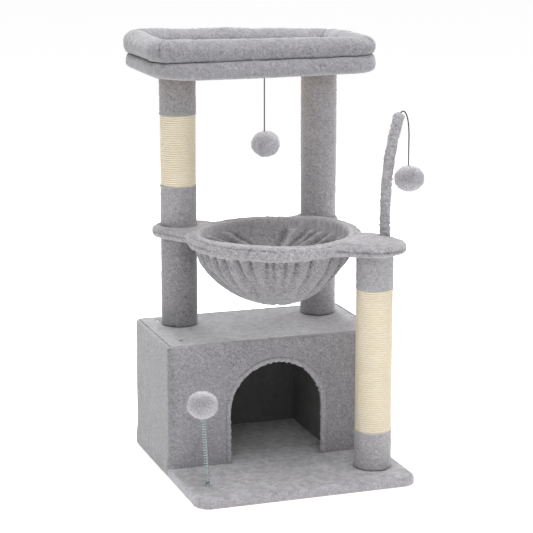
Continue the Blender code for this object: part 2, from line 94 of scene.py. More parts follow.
def make_studio():
    """A white world, four disk lamps aimed above the base, and a bright floor."""
    scene = bpy.context.scene
    scene.view_settings.view_transform = "Standard"
    scene.view_settings.look = "None"
    scene.world = bpy.data.worlds.new("studio")
    scene.world.use_nodes = True
    sky = scene.world.node_tree.nodes["Background"]
    sky.inputs["Color"].default_value = (1.0, 1.0, 1.0, 1.0)
    sky.inputs["Strength"].default_value = WORLD_LIGHT
    for name, place, target_height, size, power in LAMPS:
        light = bpy.data.lights.new(name, "AREA")
        light.shape = "DISK"
        light.size = size
        light.energy = power
        lamp = link(bpy.data.objects.new(name, light))
        lamp.location = place
        aim = Vector((0.0, 0.0, target_height)) - Vector(place)
        lamp.rotation_euler = aim.to_track_quat("-Z", "Y").to_euler()
    material, _, _ = new_material("studio_floor", Base_Color=(0.86, 0.86, 0.86, 1.0), Roughness=0.9,
                                  Specular_IOR_Level=0.0, Emission_Color=(1.0, 1.0, 1.0, 1.0),
                                  Emission_Strength=0.55)
    mesh = bpy.data.meshes.new("studio_floor")
    mesh.from_pydata([(x * FLOOR_HALF, y * FLOOR_HALF, 0)
                      for x, y in ((-1, -1), (1, -1), (1, 1), (-1, 1))], [], [(0, 1, 2, 3)])
    mesh.materials.append(material)
    floor = link(bpy.data.objects.new("studio_floor", mesh))
    floor.location.z = -FLOOR_DROP


# ------------------------------------------------------------ numbers
PRIMES = (73856093, 19349663, 83492791)
SEED_PRIME, FIRST_MIX, SECOND_MIX = 2654435761, 1274126177, 2246822519


def noise(points, size, seed=0):
    """Smooth value noise from -1 to 1 with features of one size, the same on every run."""
    cells = points / size
    cell = np.floor(cells).astype(np.int64)
    share = cells - cell
    share = share * share * (3 - 2 * share)
    total = np.zeros(len(points))
    for corner in itertools.product((0, 1), repeat=3):
        x, y, z = ((cell[:, k] + corner[k]) * PRIMES[k] for k in range(3))
        mixed = x ^ y ^ z ^ (seed + 11) * SEED_PRIME
        mixed = ((mixed ^ (mixed >> 13)) * FIRST_MIX) & 0x7FFFFFFF
        mixed = ((mixed ^ (mixed >> 15)) * SECOND_MIX) & 0x7FFFFFFF
        value = ((mixed >> 7) & 0xFFFF) / 32767.5 - 1
        for k in range(3):
            value = value * (share[:, k] if corner[k] else 1 - share[:, k])
        total += value
    return total


def layers(points, seed, *rows):
    """Noises added up: each row is a depth and a size, and the seeds run on."""
    return sum(depth * noise(points, size, seed + k) for k, (depth, size) in enumerate(rows))


def ease(low, high, value):
    """0 below low, 1 above high, and smooth between; high may be the smaller one."""
    share = np.clip((value - low) / (high - low), 0, 1)
    return share * share * (3 - 2 * share)


def bump(value, centre, width):
    return np.exp(-((value - centre) / width) ** 2)


def between(turn, place):
    """The angle from a place to a turn, from -pi to pi."""
    return np.angle(np.exp(1j * (turn - place)))


def beside(turn, place, width):
    return bump(between(turn, place), 0.0, width)


def powered(value, power):
    """A power that keeps the sign: below 1 it squares off a circle."""
    return np.sign(value) * abs(value) ** power


def circle_turns(count):
    return np.arange(count) * TAU / count


def unit_circle(turn):
    return np.stack((np.cos(turn), np.sin(turn), 0 * turn), 1)


def ring_points(centre, radius, turn, height):
    """Points round an upright axis, row by row; the arrays may need broadcasting."""
    radius, turn, height = np.broadcast_arrays(radius, turn, height)
    return np.column_stack(((centre[0] + radius * np.cos(turn)).ravel(),
                            (centre[1] + radius * np.sin(turn)).ravel(), height.ravel()))


def distance_from(points, centre):
    """How far points are from an upright axis."""
    return np.hypot(points[:, 0] - centre[0], points[:, 1] - centre[1])


# ------------------------------------------------------------ mesh helpers
def grid_quads(rows, columns, wrap=False, first=0, close=False):
    """Quads of a grid of points stored row by row; wrap joins the last column to the first,
    and close the last row to the first."""
    row = np.arange(rows if close else rows - 1)[:, None]
    column = np.arange(columns if wrap else columns - 1)[None, :]
    following = (column + 1) % columns
    below = (row + 1) % rows
    quads = np.stack(np.broadcast_arrays(row * columns + column, below * columns + column,
                                         below * columns + following,
                                         row * columns + following), -1)
    return quads.reshape(-1, 4) + first


def end_caps(first, last, sides):
    """The two faces that close a tube, from the numbers of its end rings' first points."""
    return [tuple(first + i for i in reversed(range(sides))), tuple(last + i for i in range(sides))]


def build(name, points, quads, material, extra=()):
    """A smooth mesh object in one of MATERIALS; extra holds faces of any size."""
    mesh = bpy.data.meshes.new(name)
    faces = [tuple(quad) for quad in np.asarray(quads).tolist()] + [tuple(face) for face in extra]
    mesh.from_pydata(np.asarray(points).tolist(), [], faces)
    mesh.validate()
    mesh.polygons.foreach_set("use_smooth", [True] * len(mesh.polygons))
    mesh.materials.append(MATERIALS[material])
    mesh.update()
    return link(bpy.data.objects.new(name, mesh))


def vectors(rows, name):
    values = np.zeros(len(rows) * 3)
    rows.foreach_get(name, values)
    return values.reshape(-1, 3)


def get_points(thing):
    return vectors(thing.data.vertices, "co")


def get_normals(thing):
    return vectors(thing.data.vertex_normals, "vector")


def set_points(thing, points):
    thing.data.vertices.foreach_set("co", points.astype(np.float32).ravel())
    thing.data.update()


def push(thing, points, amounts):
    """Moves each point along its surface's normal."""
    set_points(thing, points + get_normals(thing) * amounts[:, None])


def facing(thing, axis, sign):
    """How far each point's surface faces one way along an axis, from 0 to 1."""
    return np.clip(sign * get_normals(thing)[:, axis], 0, 1)


def set_value(thing, name, values):
    """Keeps a number for each point, which a material can read by its name."""
    kept = thing.data.attributes.new(name, "FLOAT", "POINT")
    kept.data.foreach_set("value", np.asarray(values).astype(np.float32))


def nap(thing, height, seed, strength=1.0, painted_shade=0.0, patchy=0.20):
    """Raises a pile on a plush mesh: tufts a few millimetres wide, and the tip or root height
    kept for the material as painted shade, roots darker and tips lighter. Strength and the
    extra painted shade may be one number for each point."""
    points = get_points(thing)
    tufts = layers(points, seed, (0.62, 0.0026), (0.20, 0.0046), (0.50, 0.0018))
    clumps = noise(points, 0.010, seed + 3)
    rise = height * strength * (tufts + 0.22 * clumps)
    patches = (0.07 + patchy * facing(thing, 2, 1)) * clumps
    push(thing, points, rise)
    # painted shade: low roots and the extra painted shade darker, high tips lighter; the brush
    # patches are the plush's own tone
    set_value(thing, "pile_tone_and_shade", np.clip(tufts + patches - painted_shade, -2.0, 1.4))


def show(thing, slot, *replaced, body="frame"):
    """Puts a piece on a body (slot is not used); replaced are the CAD nodes that it stands for,
    which are hidden.
    """
    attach(thing, body)
    if replaced:
        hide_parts(*replaced)
    return thing


def smooth_route(route, count):
    """Points at even steps along a smooth curve through the route's own points."""
    points = [Vector(point) for point in route]
    padded = [2 * points[0] - points[1]] + points + [2 * points[-1] - points[-2]]
    fine, pieces = [], 20
    for i in range(1, len(padded) - 2):
        p0, p1, p2, p3 = padded[i - 1:i + 3]
        for t in (piece / pieces for piece in range(pieces)):
            fine.append(0.5 * (2 * p1 + (p2 - p0) * t + (2 * p0 - 5 * p1 + 4 * p2 - p3) * t ** 2
                               + (3 * p1 - p0 - 3 * p2 + p3) * t ** 3))
    fine.append(points[-1])
    return np.array([fine[round(i * (len(fine) - 1) / (count - 1))] for i in range(count)])


def sweep_points(path, radii, sides):
    """Rings of points round a path, without twist; radii is one number, or one for each point."""
    path = np.asarray(path, float)
    tangents = np.gradient(path, axis=0)
    tangents /= np.linalg.norm(tangents, axis=1)[:, None]
    side = np.cross(tangents[0], UP)
    if np.linalg.norm(side) < 1e-3:
        side = np.array((1.0, 0.0, 0.0))
    across = []
    for tangent in tangents:
        side = side - tangent * (side @ tangent)
        side /= np.linalg.norm(side)
        across.append(side)
    across = np.array(across)
    up = np.cross(tangents, across)
    turn = circle_turns(sides)[None, :, None]
    radii = np.broadcast_to(np.asarray(radii, float).reshape(-1, 1), (len(path), sides))
    points = path[:, None, :] + radii[..., None] * (across[:, None, :] * np.cos(turn)
                                                    + up[:, None, :] * np.sin(turn))
    return points.reshape(-1, 3)


def tube(name, path, radii, sides, material):
    rows = len(path)
    quads = grid_quads(rows, sides, wrap=True)[:, ::-1]
    return build(name, sweep_points(path, radii, sides), quads, material,
                 end_caps(0, (rows - 1) * sides, sides))


# ------------------------------------------------------------ materials
def new_material(name, **settings):
    """A new material, its node tree, and its shader, with the named inputs set."""
    material = bpy.data.materials.new(name)
    material.use_nodes = True
    shader = material.node_tree.nodes["Principled BSDF"]
    for key, value in settings.items():
        shader.inputs[key.replace("_", " ")].default_value = value
    return material, material.node_tree, shader


def node(tree, kind, inputs, **settings):
    """A shader node; each input, by name or number, is linked or set to a plain value."""
    made = tree.nodes.new("ShaderNode" + kind)
    for key, value in settings.items():
        setattr(made, key, value)
    for key, value in inputs.items():
        if isinstance(value, bpy.types.NodeSocket):
            tree.links.new(value, made.inputs[key])
        else:
            made.inputs[key].default_value = value
    return made


def calc(tree, operation, a, b):
    return node(tree, "Math", {0: a, 1: b}, operation=operation).outputs[0]


def texture(tree, place, scale, detail=2.0, distortion=0.0):
    """A noise centred on zero, roughly from -1 to 1."""
    made = node(tree, "TexNoise", {"Vector": place, "Scale": scale, "Detail": detail,
                                   "Distortion": distortion, "Roughness": 0.55})
    return calc(tree, "MULTIPLY", calc(tree, "SUBTRACT", made.outputs["Fac"], 0.5), 2.0)


def place_of(tree, stretch=None):
    """Where a point is on the object, in metres, stretched along the axes if asked."""
    place = node(tree, "TexCoord", {}).outputs["Object"]
    if stretch is None:
        return place
    return node(tree, "VectorMath", {0: place, 1: stretch}, operation="MULTIPLY").outputs[0]


def attribute(tree, name):
    return node(tree, "Attribute", {}, attribute_name=name).outputs["Fac"]


def weigh(tree, *terms):
    """1 plus each value times its weight."""
    total = 1.0
    for value, weight in terms:
        total = calc(tree, "ADD", calc(tree, "MULTIPLY", value, weight), total)
    return total


def paint(tree, shader, colour, level, tint=None, amount=None):
    """Base colour times a level, leaning to a second colour by an amount."""
    if tint is not None:
        colour = node(tree, "Mix", {0: amount, 6: (*colour, 1.0), 7: (*tint, 1.0)},
                      data_type="RGBA", clamp_factor=True).outputs[2]
    painted = node(tree, "VectorMath", {0: colour, "Scale": level}, operation="SCALE")
    tree.links.new(painted.outputs[0], shader.inputs["Base Color"])


def roughen(tree, shader, height, distance, strength=0.7):
    bumped = node(tree, "Bump", {"Height": height, "Strength": strength, "Distance": distance})
    tree.links.new(bumped.outputs["Normal"], shader.inputs["Normal"])


def plush(name, colour, grain, tone_and_shade_weight, patch, sheen):
    material, tree, shader = new_material(name, Roughness=0.95, Specular_IOR_Level=0.12,
                                          Sheen_Weight=sheen, Sheen_Roughness=0.55)
    place = place_of(tree)
    # the last weight is for the pile attribute: brush patches of the plush's own tone, and painted
    # shade at the roots and wherever a mesh asks for it
    paint(tree, shader, colour,
          weigh(tree, (texture(tree, place, 480.0, 3.0), grain),
                (texture(tree, place, 130.0), grain * 0.13),
                (texture(tree, place, 9.0, 3.0, 1.4), patch), (attribute(tree, "pile_tone_and_shade"), tone_and_shade_weight)))
    roughen(tree, shader, texture(tree, place, 900.0, 1.0), 0.0006, 0.6)
    return material


def sisal():
    material, tree, shader = new_material("sisal_rope", Roughness=0.86, Specular_IOR_Level=0.25)
    along = calc(tree, "MULTIPLY", attribute(tree, "along"), 90.0)
    around = calc(tree, "MULTIPLY", attribute(tree, "around"), 5.0)
    fibre = texture(tree, node(tree, "CombineXYZ", {"X": along, "Y": around}).outputs[0], 1.0, 3.0)
    place = place_of(tree)
    # the pile attribute here is painted shade in the grooves between strands and on the side
    # against the post
    level = weigh(tree, (fibre, 0.14), (attribute(tree, "pile_tone_and_shade"), 0.09),
                  (texture(tree, place, 300.0), 0.10))
    paint(tree, shader, (0.85, 0.765, 0.60), level, (0.89, 0.84, 0.75),
          texture(tree, place, 45.0, 3.0))
    roughen(tree, shader, fibre, 0.0005, 0.8)
    return material


def timber(name, colour, tint, stretch):
    material, tree, shader = new_material(name, Roughness=0.72)
    grain = texture(tree, place_of(tree, stretch), 60.0, 4.0, 1.5)
    chips = texture(tree, place_of(tree), 260.0, 3.0)
    paint(tree, shader, colour, weigh(tree, (grain, 0.18), (chips, 0.14)), tint, grain)
    roughen(tree, shader, chips, 0.0003, 0.5)
    return material


def metal(name, colour, roughness):
    material, tree, shader = new_material(name, Metallic=1.0)
    rub = texture(tree, place_of(tree, (1.0, 1.0, 0.25)), 900.0, 3.0)
    paint(tree, shader, colour, weigh(tree, (rub, 0.12)))
    worn = calc(tree, "ADD", calc(tree, "MULTIPLY", rub, 0.10), roughness)
    tree.links.new(worn, shader.inputs["Roughness"])
    roughen(tree, shader, rub, 0.00008, 0.4)
    return material


def thread(name, colour, sheen):
    """Fine twisted or braided yarn."""
    material, tree, shader = new_material(name, Roughness=0.85, Specular_IOR_Level=0.15,
                                          Sheen_Weight=sheen)
    place = place_of(tree)
    twist = texture(tree, place, 1500.0, 2.0)
    paint(tree, shader, colour, weigh(tree, (twist, 0.30), (texture(tree, place, 240.0), 0.12)))
    roughen(tree, shader, twist, 0.0002, 0.7)
    return material


MATERIALS = {
    "plush_cover": plush("plush_cover", (0.325, 0.317, 0.337), 0.74, 0.34, 0.10, 0.55),
    "plush_post": plush("plush_post", (0.310, 0.302, 0.314), 0.70, 0.34, 0.05, 0.35),
    "plush_hammock": plush("plush_hammock", (0.335, 0.326, 0.343), 0.80, 0.40, 0.06, 0.40),
    "plush_perch": plush("plush_perch", (0.292, 0.286, 0.304), 0.65, 0.32, 0.06, 0.40),
    # darker plush for the sheets inside the condo's room: painted shade
    "lining": plush("painted_shade_lining", (0.178, 0.174, 0.172), 0.30, 0.18, 0.20, 0.10),
    "pompom": plush("pompom", (0.79, 0.775, 0.810), 0.20, 0.42, 0.03, 0.30),
    "sisal_rope": sisal(),
    "board": timber("board", (0.52, 0.40, 0.27), (0.40, 0.29, 0.18), (1.0, 1.0, 6.0)),
    "plug_wood": timber("plug_wood", (0.60, 0.47, 0.31), (0.45, 0.33, 0.20), (5.0, 5.0, 0.6)),
    "cardboard": timber("cardboard", (0.44, 0.33, 0.22), (0.36, 0.26, 0.17), (1.0, 1.0, 9.0)),
    "fastener_steel": metal("fastener_steel", (0.26, 0.26, 0.27), 0.42),
    "spring_wire": metal("spring_wire", (0.52, 0.62, 0.63), 0.28),
    "elastic_cord": thread("elastic_cord", (0.006, 0.0065, 0.007), 0.0),
    "seam_thread": thread("seam_thread", (0.24, 0.235, 0.25), 0.15),
}


# ------------------------------------------------------------ hanging cords and toys
STICK_FOOT = (0.209, -0.112)
STICK_LOW, STICK_TOP = 0.5028, 0.764
STICK_BEND_FROM, STICK_LEAN = 0.53, 0.0275
STICK_OUT = np.array((0.93, -0.367, 0.0)) / hypot(0.93, 0.367)
STICK_RADIUS = 0.0103
ARCH_ROUTE = [(0.2363, -0.1228, 0.7662), (0.2380, -0.1237, 0.7688), (0.2409, -0.1253, 0.7700),
              (0.2447, -0.1274, 0.7672), (0.2481, -0.1291, 0.7585), (0.2502, -0.1301, 0.7470),
              (0.2515, -0.1306, 0.7340), (0.2520, -0.1308, 0.7206)]
STICK_TOY = (0.252, -0.1308)
PERCH_TOY = (0.005, 0.065)
CORD_RADIUS = 0.00125
SPRING_FOOT = np.array((-0.1938, -0.1523, 0.0200))
SPRING_HEAD = np.array((-0.2002, -0.1503, 0.1622))
COIL_RADIUS, WIRE_RADIUS = 0.0042, 0.0009
CLOSE_TURNS, CLOSE_PITCH, OPEN_PITCH = 2, 0.00165, 0.0056
SPRING_SPLIT = 0.090
CORE_POINTS, TUFTS = 2600, 5200
TUFT_QUADS = ((0, 1, 4, 3), (1, 2, 5, 4), (2, 0, 3, 5))
TUFT_TRIANGLES = ((3, 4, 6), (4, 5, 6), (5, 3, 6), (2, 1, 0))
# painted shade on each tuft: its roots darker, its tip lighter, and the core as dark as the roots
TUFT_SHADES = (-0.9, -0.9, -0.9, -0.05, -0.05, -0.05, 0.5)
CORE_SHARE, CORE_SHADE = 0.80, -0.9
COMBED = np.array((0.30, -0.45, -0.75))      # the way that the fur lies


def fibonacci(count):
    """Directions spread evenly over a ball."""
    i = np.arange(count) + 0.5
    z = 1 - 2 * i / count
    turn = i * pi * (3 - sqrt(5))
    flat = np.sqrt(1 - z * z)
    return np.stack((flat * np.cos(turn), flat * np.sin(turn), z), 1)


def ball_faces(ways):
    """The triangles of a ball's evenly spread points."""
    hull = bmesh.new()
    for way in ways:
        hull.verts.new(way)
    bmesh.ops.convex_hull(hull, input=hull.verts)
    hull.verts.index_update()
    faces = np.array([[vert.index for vert in face.verts] for face in hull.faces])
    hull.free()
    return faces


def pompom(name, centre, radius, squat, seed):
    """A ball of clipped fibres on a toy's body: a core with thousands of fine tapered tufts."""
    def unit(ways):
        return ways / np.linalg.norm(ways, axis=1)[:, None]

    core_ways = fibonacci(CORE_POINTS)
    rng = np.random.default_rng(seed)
    ways = unit(fibonacci(TUFTS) + rng.normal(0, 0.03, (TUFTS, 3)))
    lumps = 1 + layers(ways, seed, (0.035, 0.55), (0.02, 0.25))
    lean = rng.normal(0, 0.16, (TUFTS, 3)) + 0.25 * np.stack(
        [noise(ways, 0.5, seed + k) for k in (5, 6, 7)], 1)
    lean += COMBED * (0.30 + 0.25 * noise(ways, 0.8, seed + 8))[:, None]
    lean -= ways * (lean * ways).sum(1)[:, None]
    side = unit(np.cross(ways, rng.normal(0, 1, (TUFTS, 3))))
    other = np.cross(ways, side)
    tip = radius * lumps * rng.uniform(0.90, 1.03, TUFTS)
    width = radius * rng.uniform(0.020, 0.036, TUFTS)
    rings = []
    for share, wide in ((0.62, 1.0), (0.84, 0.75)):
        middle = ways * (tip * share)[:, None] + lean * (radius * 0.5 * (share - 0.6))
        for turn in (0.0, 2.1, 4.2):
            rings.append(middle + (side * cos(turn) + other * sin(turn))
                         * (width * wide)[:, None])
    end = ways * tip[:, None] + lean * radius * 0.32
    points = np.concatenate([np.stack(rings + [end], 1).reshape(-1, 3),
                             core_ways * radius * CORE_SHARE])
    points[:, 2] *= squat
    first = np.arange(TUFTS)[:, None] * len(TUFT_SHADES)
    quads, triangles = (np.concatenate([first + np.array(face) for face in faces])
                        for faces in (TUFT_QUADS, TUFT_TRIANGLES))
    core = ball_faces(core_ways) + TUFTS * len(TUFT_SHADES)
    shades = np.repeat(rng.uniform(-0.65, 0.45, TUFTS), len(TUFT_SHADES))
    thing = build(name + "_pompom_fur", points + np.array(centre), quads, "pompom",
                  [*triangles.tolist(), *core.tolist()])
    # painted shade at the tufts' roots and in the core, lighter tips; shades gives each tuft its
    # own tone
    set_value(thing, "pile_tone_and_shade", np.concatenate([np.tile(TUFT_SHADES, TUFTS) + shades,
                                             np.full(CORE_POINTS, CORE_SHADE)]))
    return show(thing, "pompom", name + "_pompom", body=name + "_toy")


def hanging_cord(name, path, bodies, replaced):
    """A cord on one body, or, given more bodies, on none with its place baked in: bodies then also
    has both ends' places, which are not used.
    """
    path = np.asarray(path, float)
    thing = tube(name, path, CORD_RADIUS, 10, "elastic_cord")
    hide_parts(*replaced)
    if len(bodies) > 1:
        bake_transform(thing)
    else:
        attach(thing, *bodies)


def straight(place, high, low, count):
    """Points down a plumb line."""
    return [(*place, high + (low - high) * i / (count - 1)) for i in range(count)]


def make_toys():
    stick_ball = pompom("stick", (STICK_TOY[0] + 0.0020, STICK_TOY[1], 0.6303), 0.0332, 0.87, 21)
    perch_ball = pompom("perch", (PERCH_TOY[0] + 0.0025, PERCH_TOY[1], 0.6860), 0.0318, 0.91, 35)
    pompom("spring", (-0.2022, -0.1496, 0.1930), 0.0332, 0.88, 47)
    arch = smooth_route(ARCH_ROUTE, 30).tolist() + straight(STICK_TOY, 0.7180, 0.6886, 12)
    hanging_cord("stick_cord_upper_part", arch,
                 ("stick", "stick_toy_link", (*STICK_TOY, 0.7250), (*STICK_TOY, 0.7150)),
                 ["stick_cord_arch", "stick_cord_upper"])
    for name, place, high, low, count, body, pieces in (
            ("stick_cord_lower", STICK_TOY, 0.6884, 0.6500, 14, "stick_toy", [stick_ball]),
            ("perch_cord_upper", PERCH_TOY, 0.8285, 0.7902, 14, "perch_toy_link", []),
            ("perch_cord_lower", PERCH_TOY, 0.7900, 0.7090, 28, "perch_toy", [perch_ball])):
        hanging_cord(name + "_part", straight(place, high, low, count), (body,),
                     [name])


def make_spring():
    """The coil in two halves, which both stand for the CAD coil."""
    axis = SPRING_HEAD - SPRING_FOOT
    length = np.linalg.norm(axis)
    axis = axis / length
    across = np.cross(axis, (0.0, 1.0, 0.0))
    across /= np.linalg.norm(across)
    other = np.cross(axis, across)
    path, height, turn, steps = [], 0.001, 0.0, 28
    while height < length:
        path.append(SPRING_FOOT + axis * height + COIL_RADIUS * (across * cos(turn)
                                                                 + other * sin(turn)))
        height += (CLOSE_PITCH if turn < CLOSE_TURNS * TAU else OPEN_PITCH) / steps
        turn += TAU / steps
    path = np.array(path)
    split = int(np.argmin(abs(path[:, 2] - SPRING_SPLIT)))
    for name, part, bodies, low, high in (
            ("spring_coil_low", path[:split + 1], ("frame", "spring_lower"), 0.030, 0.078),
            ("spring_coil_high", path[split:], ("spring_lower", "spring_toy"), 0.100, 0.150)):
        thing = tube(name, part, WIRE_RADIUS, 8, "spring_wire")
        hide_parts("spring")
        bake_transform(thing)


# ------------------------------------------------------------ flat-topped plush covers
def rounded_grid(halves, corner):
    """A grid over a rectangle with round corners: points, outline order and outward ways."""
    grid = np.stack(np.meshgrid(*(np.linspace(-half, half, round(2 * half / STEP) + 1)
                                  for half in halves), indexing="ij"), -1)
    part = np.clip((abs(grid) - halves + corner) / corner, 0, 1)
    reach = part.max(-1)
    share = pi / 4 * part / np.maximum(reach, 1e-9)[..., None]
    turn = np.where(part[..., 0] >= part[..., 1], share[..., 1], pi / 2 - share[..., 0])
    ways = reach[..., None] * np.stack((np.cos(turn), np.sin(turn)), -1)
    flat = np.sign(grid) * (np.minimum(abs(grid), halves - corner) + corner * ways)
    ways = (np.sign(grid) * ways).reshape(-1, 2)
    index = np.arange(len(ways)).reshape(grid.shape[:2])
    outline = np.concatenate((index[:-1, 0], index[-1, :-1], index[:0:-1, -1], index[0, :0:-1]))
    quads = np.stack((index[:-1, :-1], index[1:, :-1], index[1:, 1:], index[:-1, 1:]), -1)
    return flat.reshape(-1, 2), outline, ways[outline], quads.reshape(-1, 4)


def box_skin(centre, halves, corner, inset, top, rows):
    """A cover with a flat top and sides: rows give how far out of the top's outline, and how
    high, each ring of points is. Also returns where the first ring starts and a ring's length."""
    flat, outline, ways, quads = rounded_grid(np.subtract(halves, inset), corner - inset)
    edge = flat[outline]
    points = np.concatenate([np.column_stack((flat, np.full(len(flat), top)))]
                            + [np.column_stack((edge + ways * out, np.full(len(edge), height)))
                               for out, height in rows])
    ring, first = len(outline), len(flat)
    low = first + np.arange(ring)
    sides = np.stack((outline, low, np.roll(low, -1), np.roll(outline, -1)), -1)
    walls = grid_quads(len(rows), ring, wrap=True, first=first)
    points[:, :2] += centre
    return points, np.concatenate([quads, sides, walls]), first, ring


def quarter(out, high, radius, steps, start=90.0):
    """Rows of a rounded edge, from a start angle down to level; out and high are its centre."""
    turns = [radians(start * (1 - i / steps)) for i in range(steps + 1)]
    return [(out + radius * cos(t), high + radius * sin(t)) for t in turns]


def down(out, high, low):
    """Rows of an upright side, below its top row."""
    count = max(1, round((high - low) / STEP))
    return [(out, high + (low - high) * (i + 1) / count) for i in range(count)]


def make_base():
    """The base's plush, pressed in round the front post and flat under the condo."""
    edge = BASE_EDGE
    rows = quarter(0.0, BASE_TOP - edge, edge, 6)[1:] + down(edge, BASE_TOP - edge, 0.0036)
    rows += [(edge - 0.0008, 0.0018), (edge - 0.0022, 0.0010), (edge - 0.0042, 0.0008)]
    points, quads, _, _ = box_skin((0, 0), BASE_HALVES, BASE_CORNER, edge, BASE_TOP, rows)
    points[:, 2] += 0.0005 * noise(points, 0.09, 3) * ease(0.010, 0.019, points[:, 2])
    foot = distance_from(points, POSTS["front"])
    points[:, 2] -= 0.0010 * bump(foot, POST_RADIUS, 0.004) * ease(0.015, 0.019, points[:, 2])
    thing = build("base_cover", points, quads, "plush_cover")
    x, y, z = points.T
    side = ease(0.0185, 0.0140, z)
    in_condo = (abs(x) < 0.225) & (y > -0.018) & (y < 0.228)
    # painted shade along the bottom edge by the floor and in a ring round the front post's foot;
    # the rest a little lighter
    painted_shade = 0.9 * ease(0.0030, 0.0008, z) + 0.8 * bump(foot, 0.0380, 0.003) - 0.3
    nap(thing, 0.0009, 11, np.where(in_condo, 0.3, 0.75 + 0.5 * side), painted_shade, 0.75)
    show(thing, "plush_cover", "base_plush")


# ------------------------------------------------------------ condo
CONDO_CENTRE, CONDO_HALVES, CONDO_CORNER = (0, 0.104), (0.238, 0.134), 0.016
CONDO_TOP, CONDO_FRONT, CONDO_INSET, CONDO_SHOULDER = 0.2840, -0.030, 0.0100, 0.0048
CONDO_FOOT = 0.050       # from here down, the sides and back are drawn down over the base's edge
DOOR_HALF, DOOR_SPRING = 0.103, 0.131
SEAM_ROWS = ((0.0010, -0.0006, 0.5), (0.0018, -0.0022, 1.5), (0.0027, -0.0024, 1.5),
             (0.0034, -0.0010, 0.5), (0.0044, -0.0001, 0.0))       # out, up, how dark: painted shade in the seam's groove
SCREWS = ((-0.195, 0.024), (-0.195, 0.206))
# darker sheets over the room's walls and under its roof: painted shade inside the room
SHADE_LININGS = (("shade_lining_back", (-0.1885, 0.2278, 0.0205), (0.3190, 0, 0), (0, 0, 0.2470)),
           ("shade_lining_left", (-0.1883, -0.0195, 0.0205), (0, 0.2470, 0), (0, 0, 0.2470)),
           ("shade_lining_right", (0.1303, 0.2275, 0.0205), (0, -0.2470, 0), (0, 0, 0.2470)),
           ("shade_lining_roof", (-0.1880, 0.2275, 0.2678), (0.3180, 0, 0), (0, -0.2470, 0)))
BINDING = ((0.0104, -0.0294), (0.0101, -0.0305), (0.0094, -0.0316), (0.0083, -0.0324),
           (0.0068, -0.0329), (0.0052, -0.0331), (0.0036, -0.0330), (0.0020, -0.0326),
           (0.0007, -0.0318), (-0.0003, -0.0306), (-0.0009, -0.0290), (-0.0011, -0.0270),
           (-0.0011, -0.0248), (-0.0010, -0.0226), (-0.0008, -0.0205))   # out of the doorway, depth
STITCH_OUT, STITCH_DEPTH, STITCH_GAP = 0.0086, -0.0328, 0.0052
STITCH_LENGTH, STITCH_RADIUS = 0.0033, 0.00042


def door_distance(x, z):
    """How far outside the doorway's outline a point of the front is."""
    return np.where(z < DOOR_SPRING, abs(x), np.hypot(x, z - DOOR_SPRING)) - DOOR_HALF


def cut_doorway(points, quads):
    """Opens the doorway in the front: points near its outline move onto it."""
    x, z = points[:, 0], points[:, 2]
    off = door_distance(x, z)
    near = (points[:, 1] < CONDO_FRONT + 0.003) & (abs(off) < 0.60 * STEP)
    rise = z - np.minimum(z, DOOR_SPRING)
    way = np.where((z < DOOR_SPRING)[:, None], np.stack((np.sign(x), 0 * x), 1),
                   np.stack((x, rise), 1) / np.hypot(x, rise + 1e-12)[:, None])
    points[near, 0] -= (way[:, 0] * off)[near]
    points[near, 2] -= (way[:, 1] * off)[near]
    x, y, z = points[quads].mean(1).T
    inside = (door_distance(x, z) < -1e-5) & (y < CONDO_FRONT + 0.003) & (z < 0.235)
    return quads[~inside]


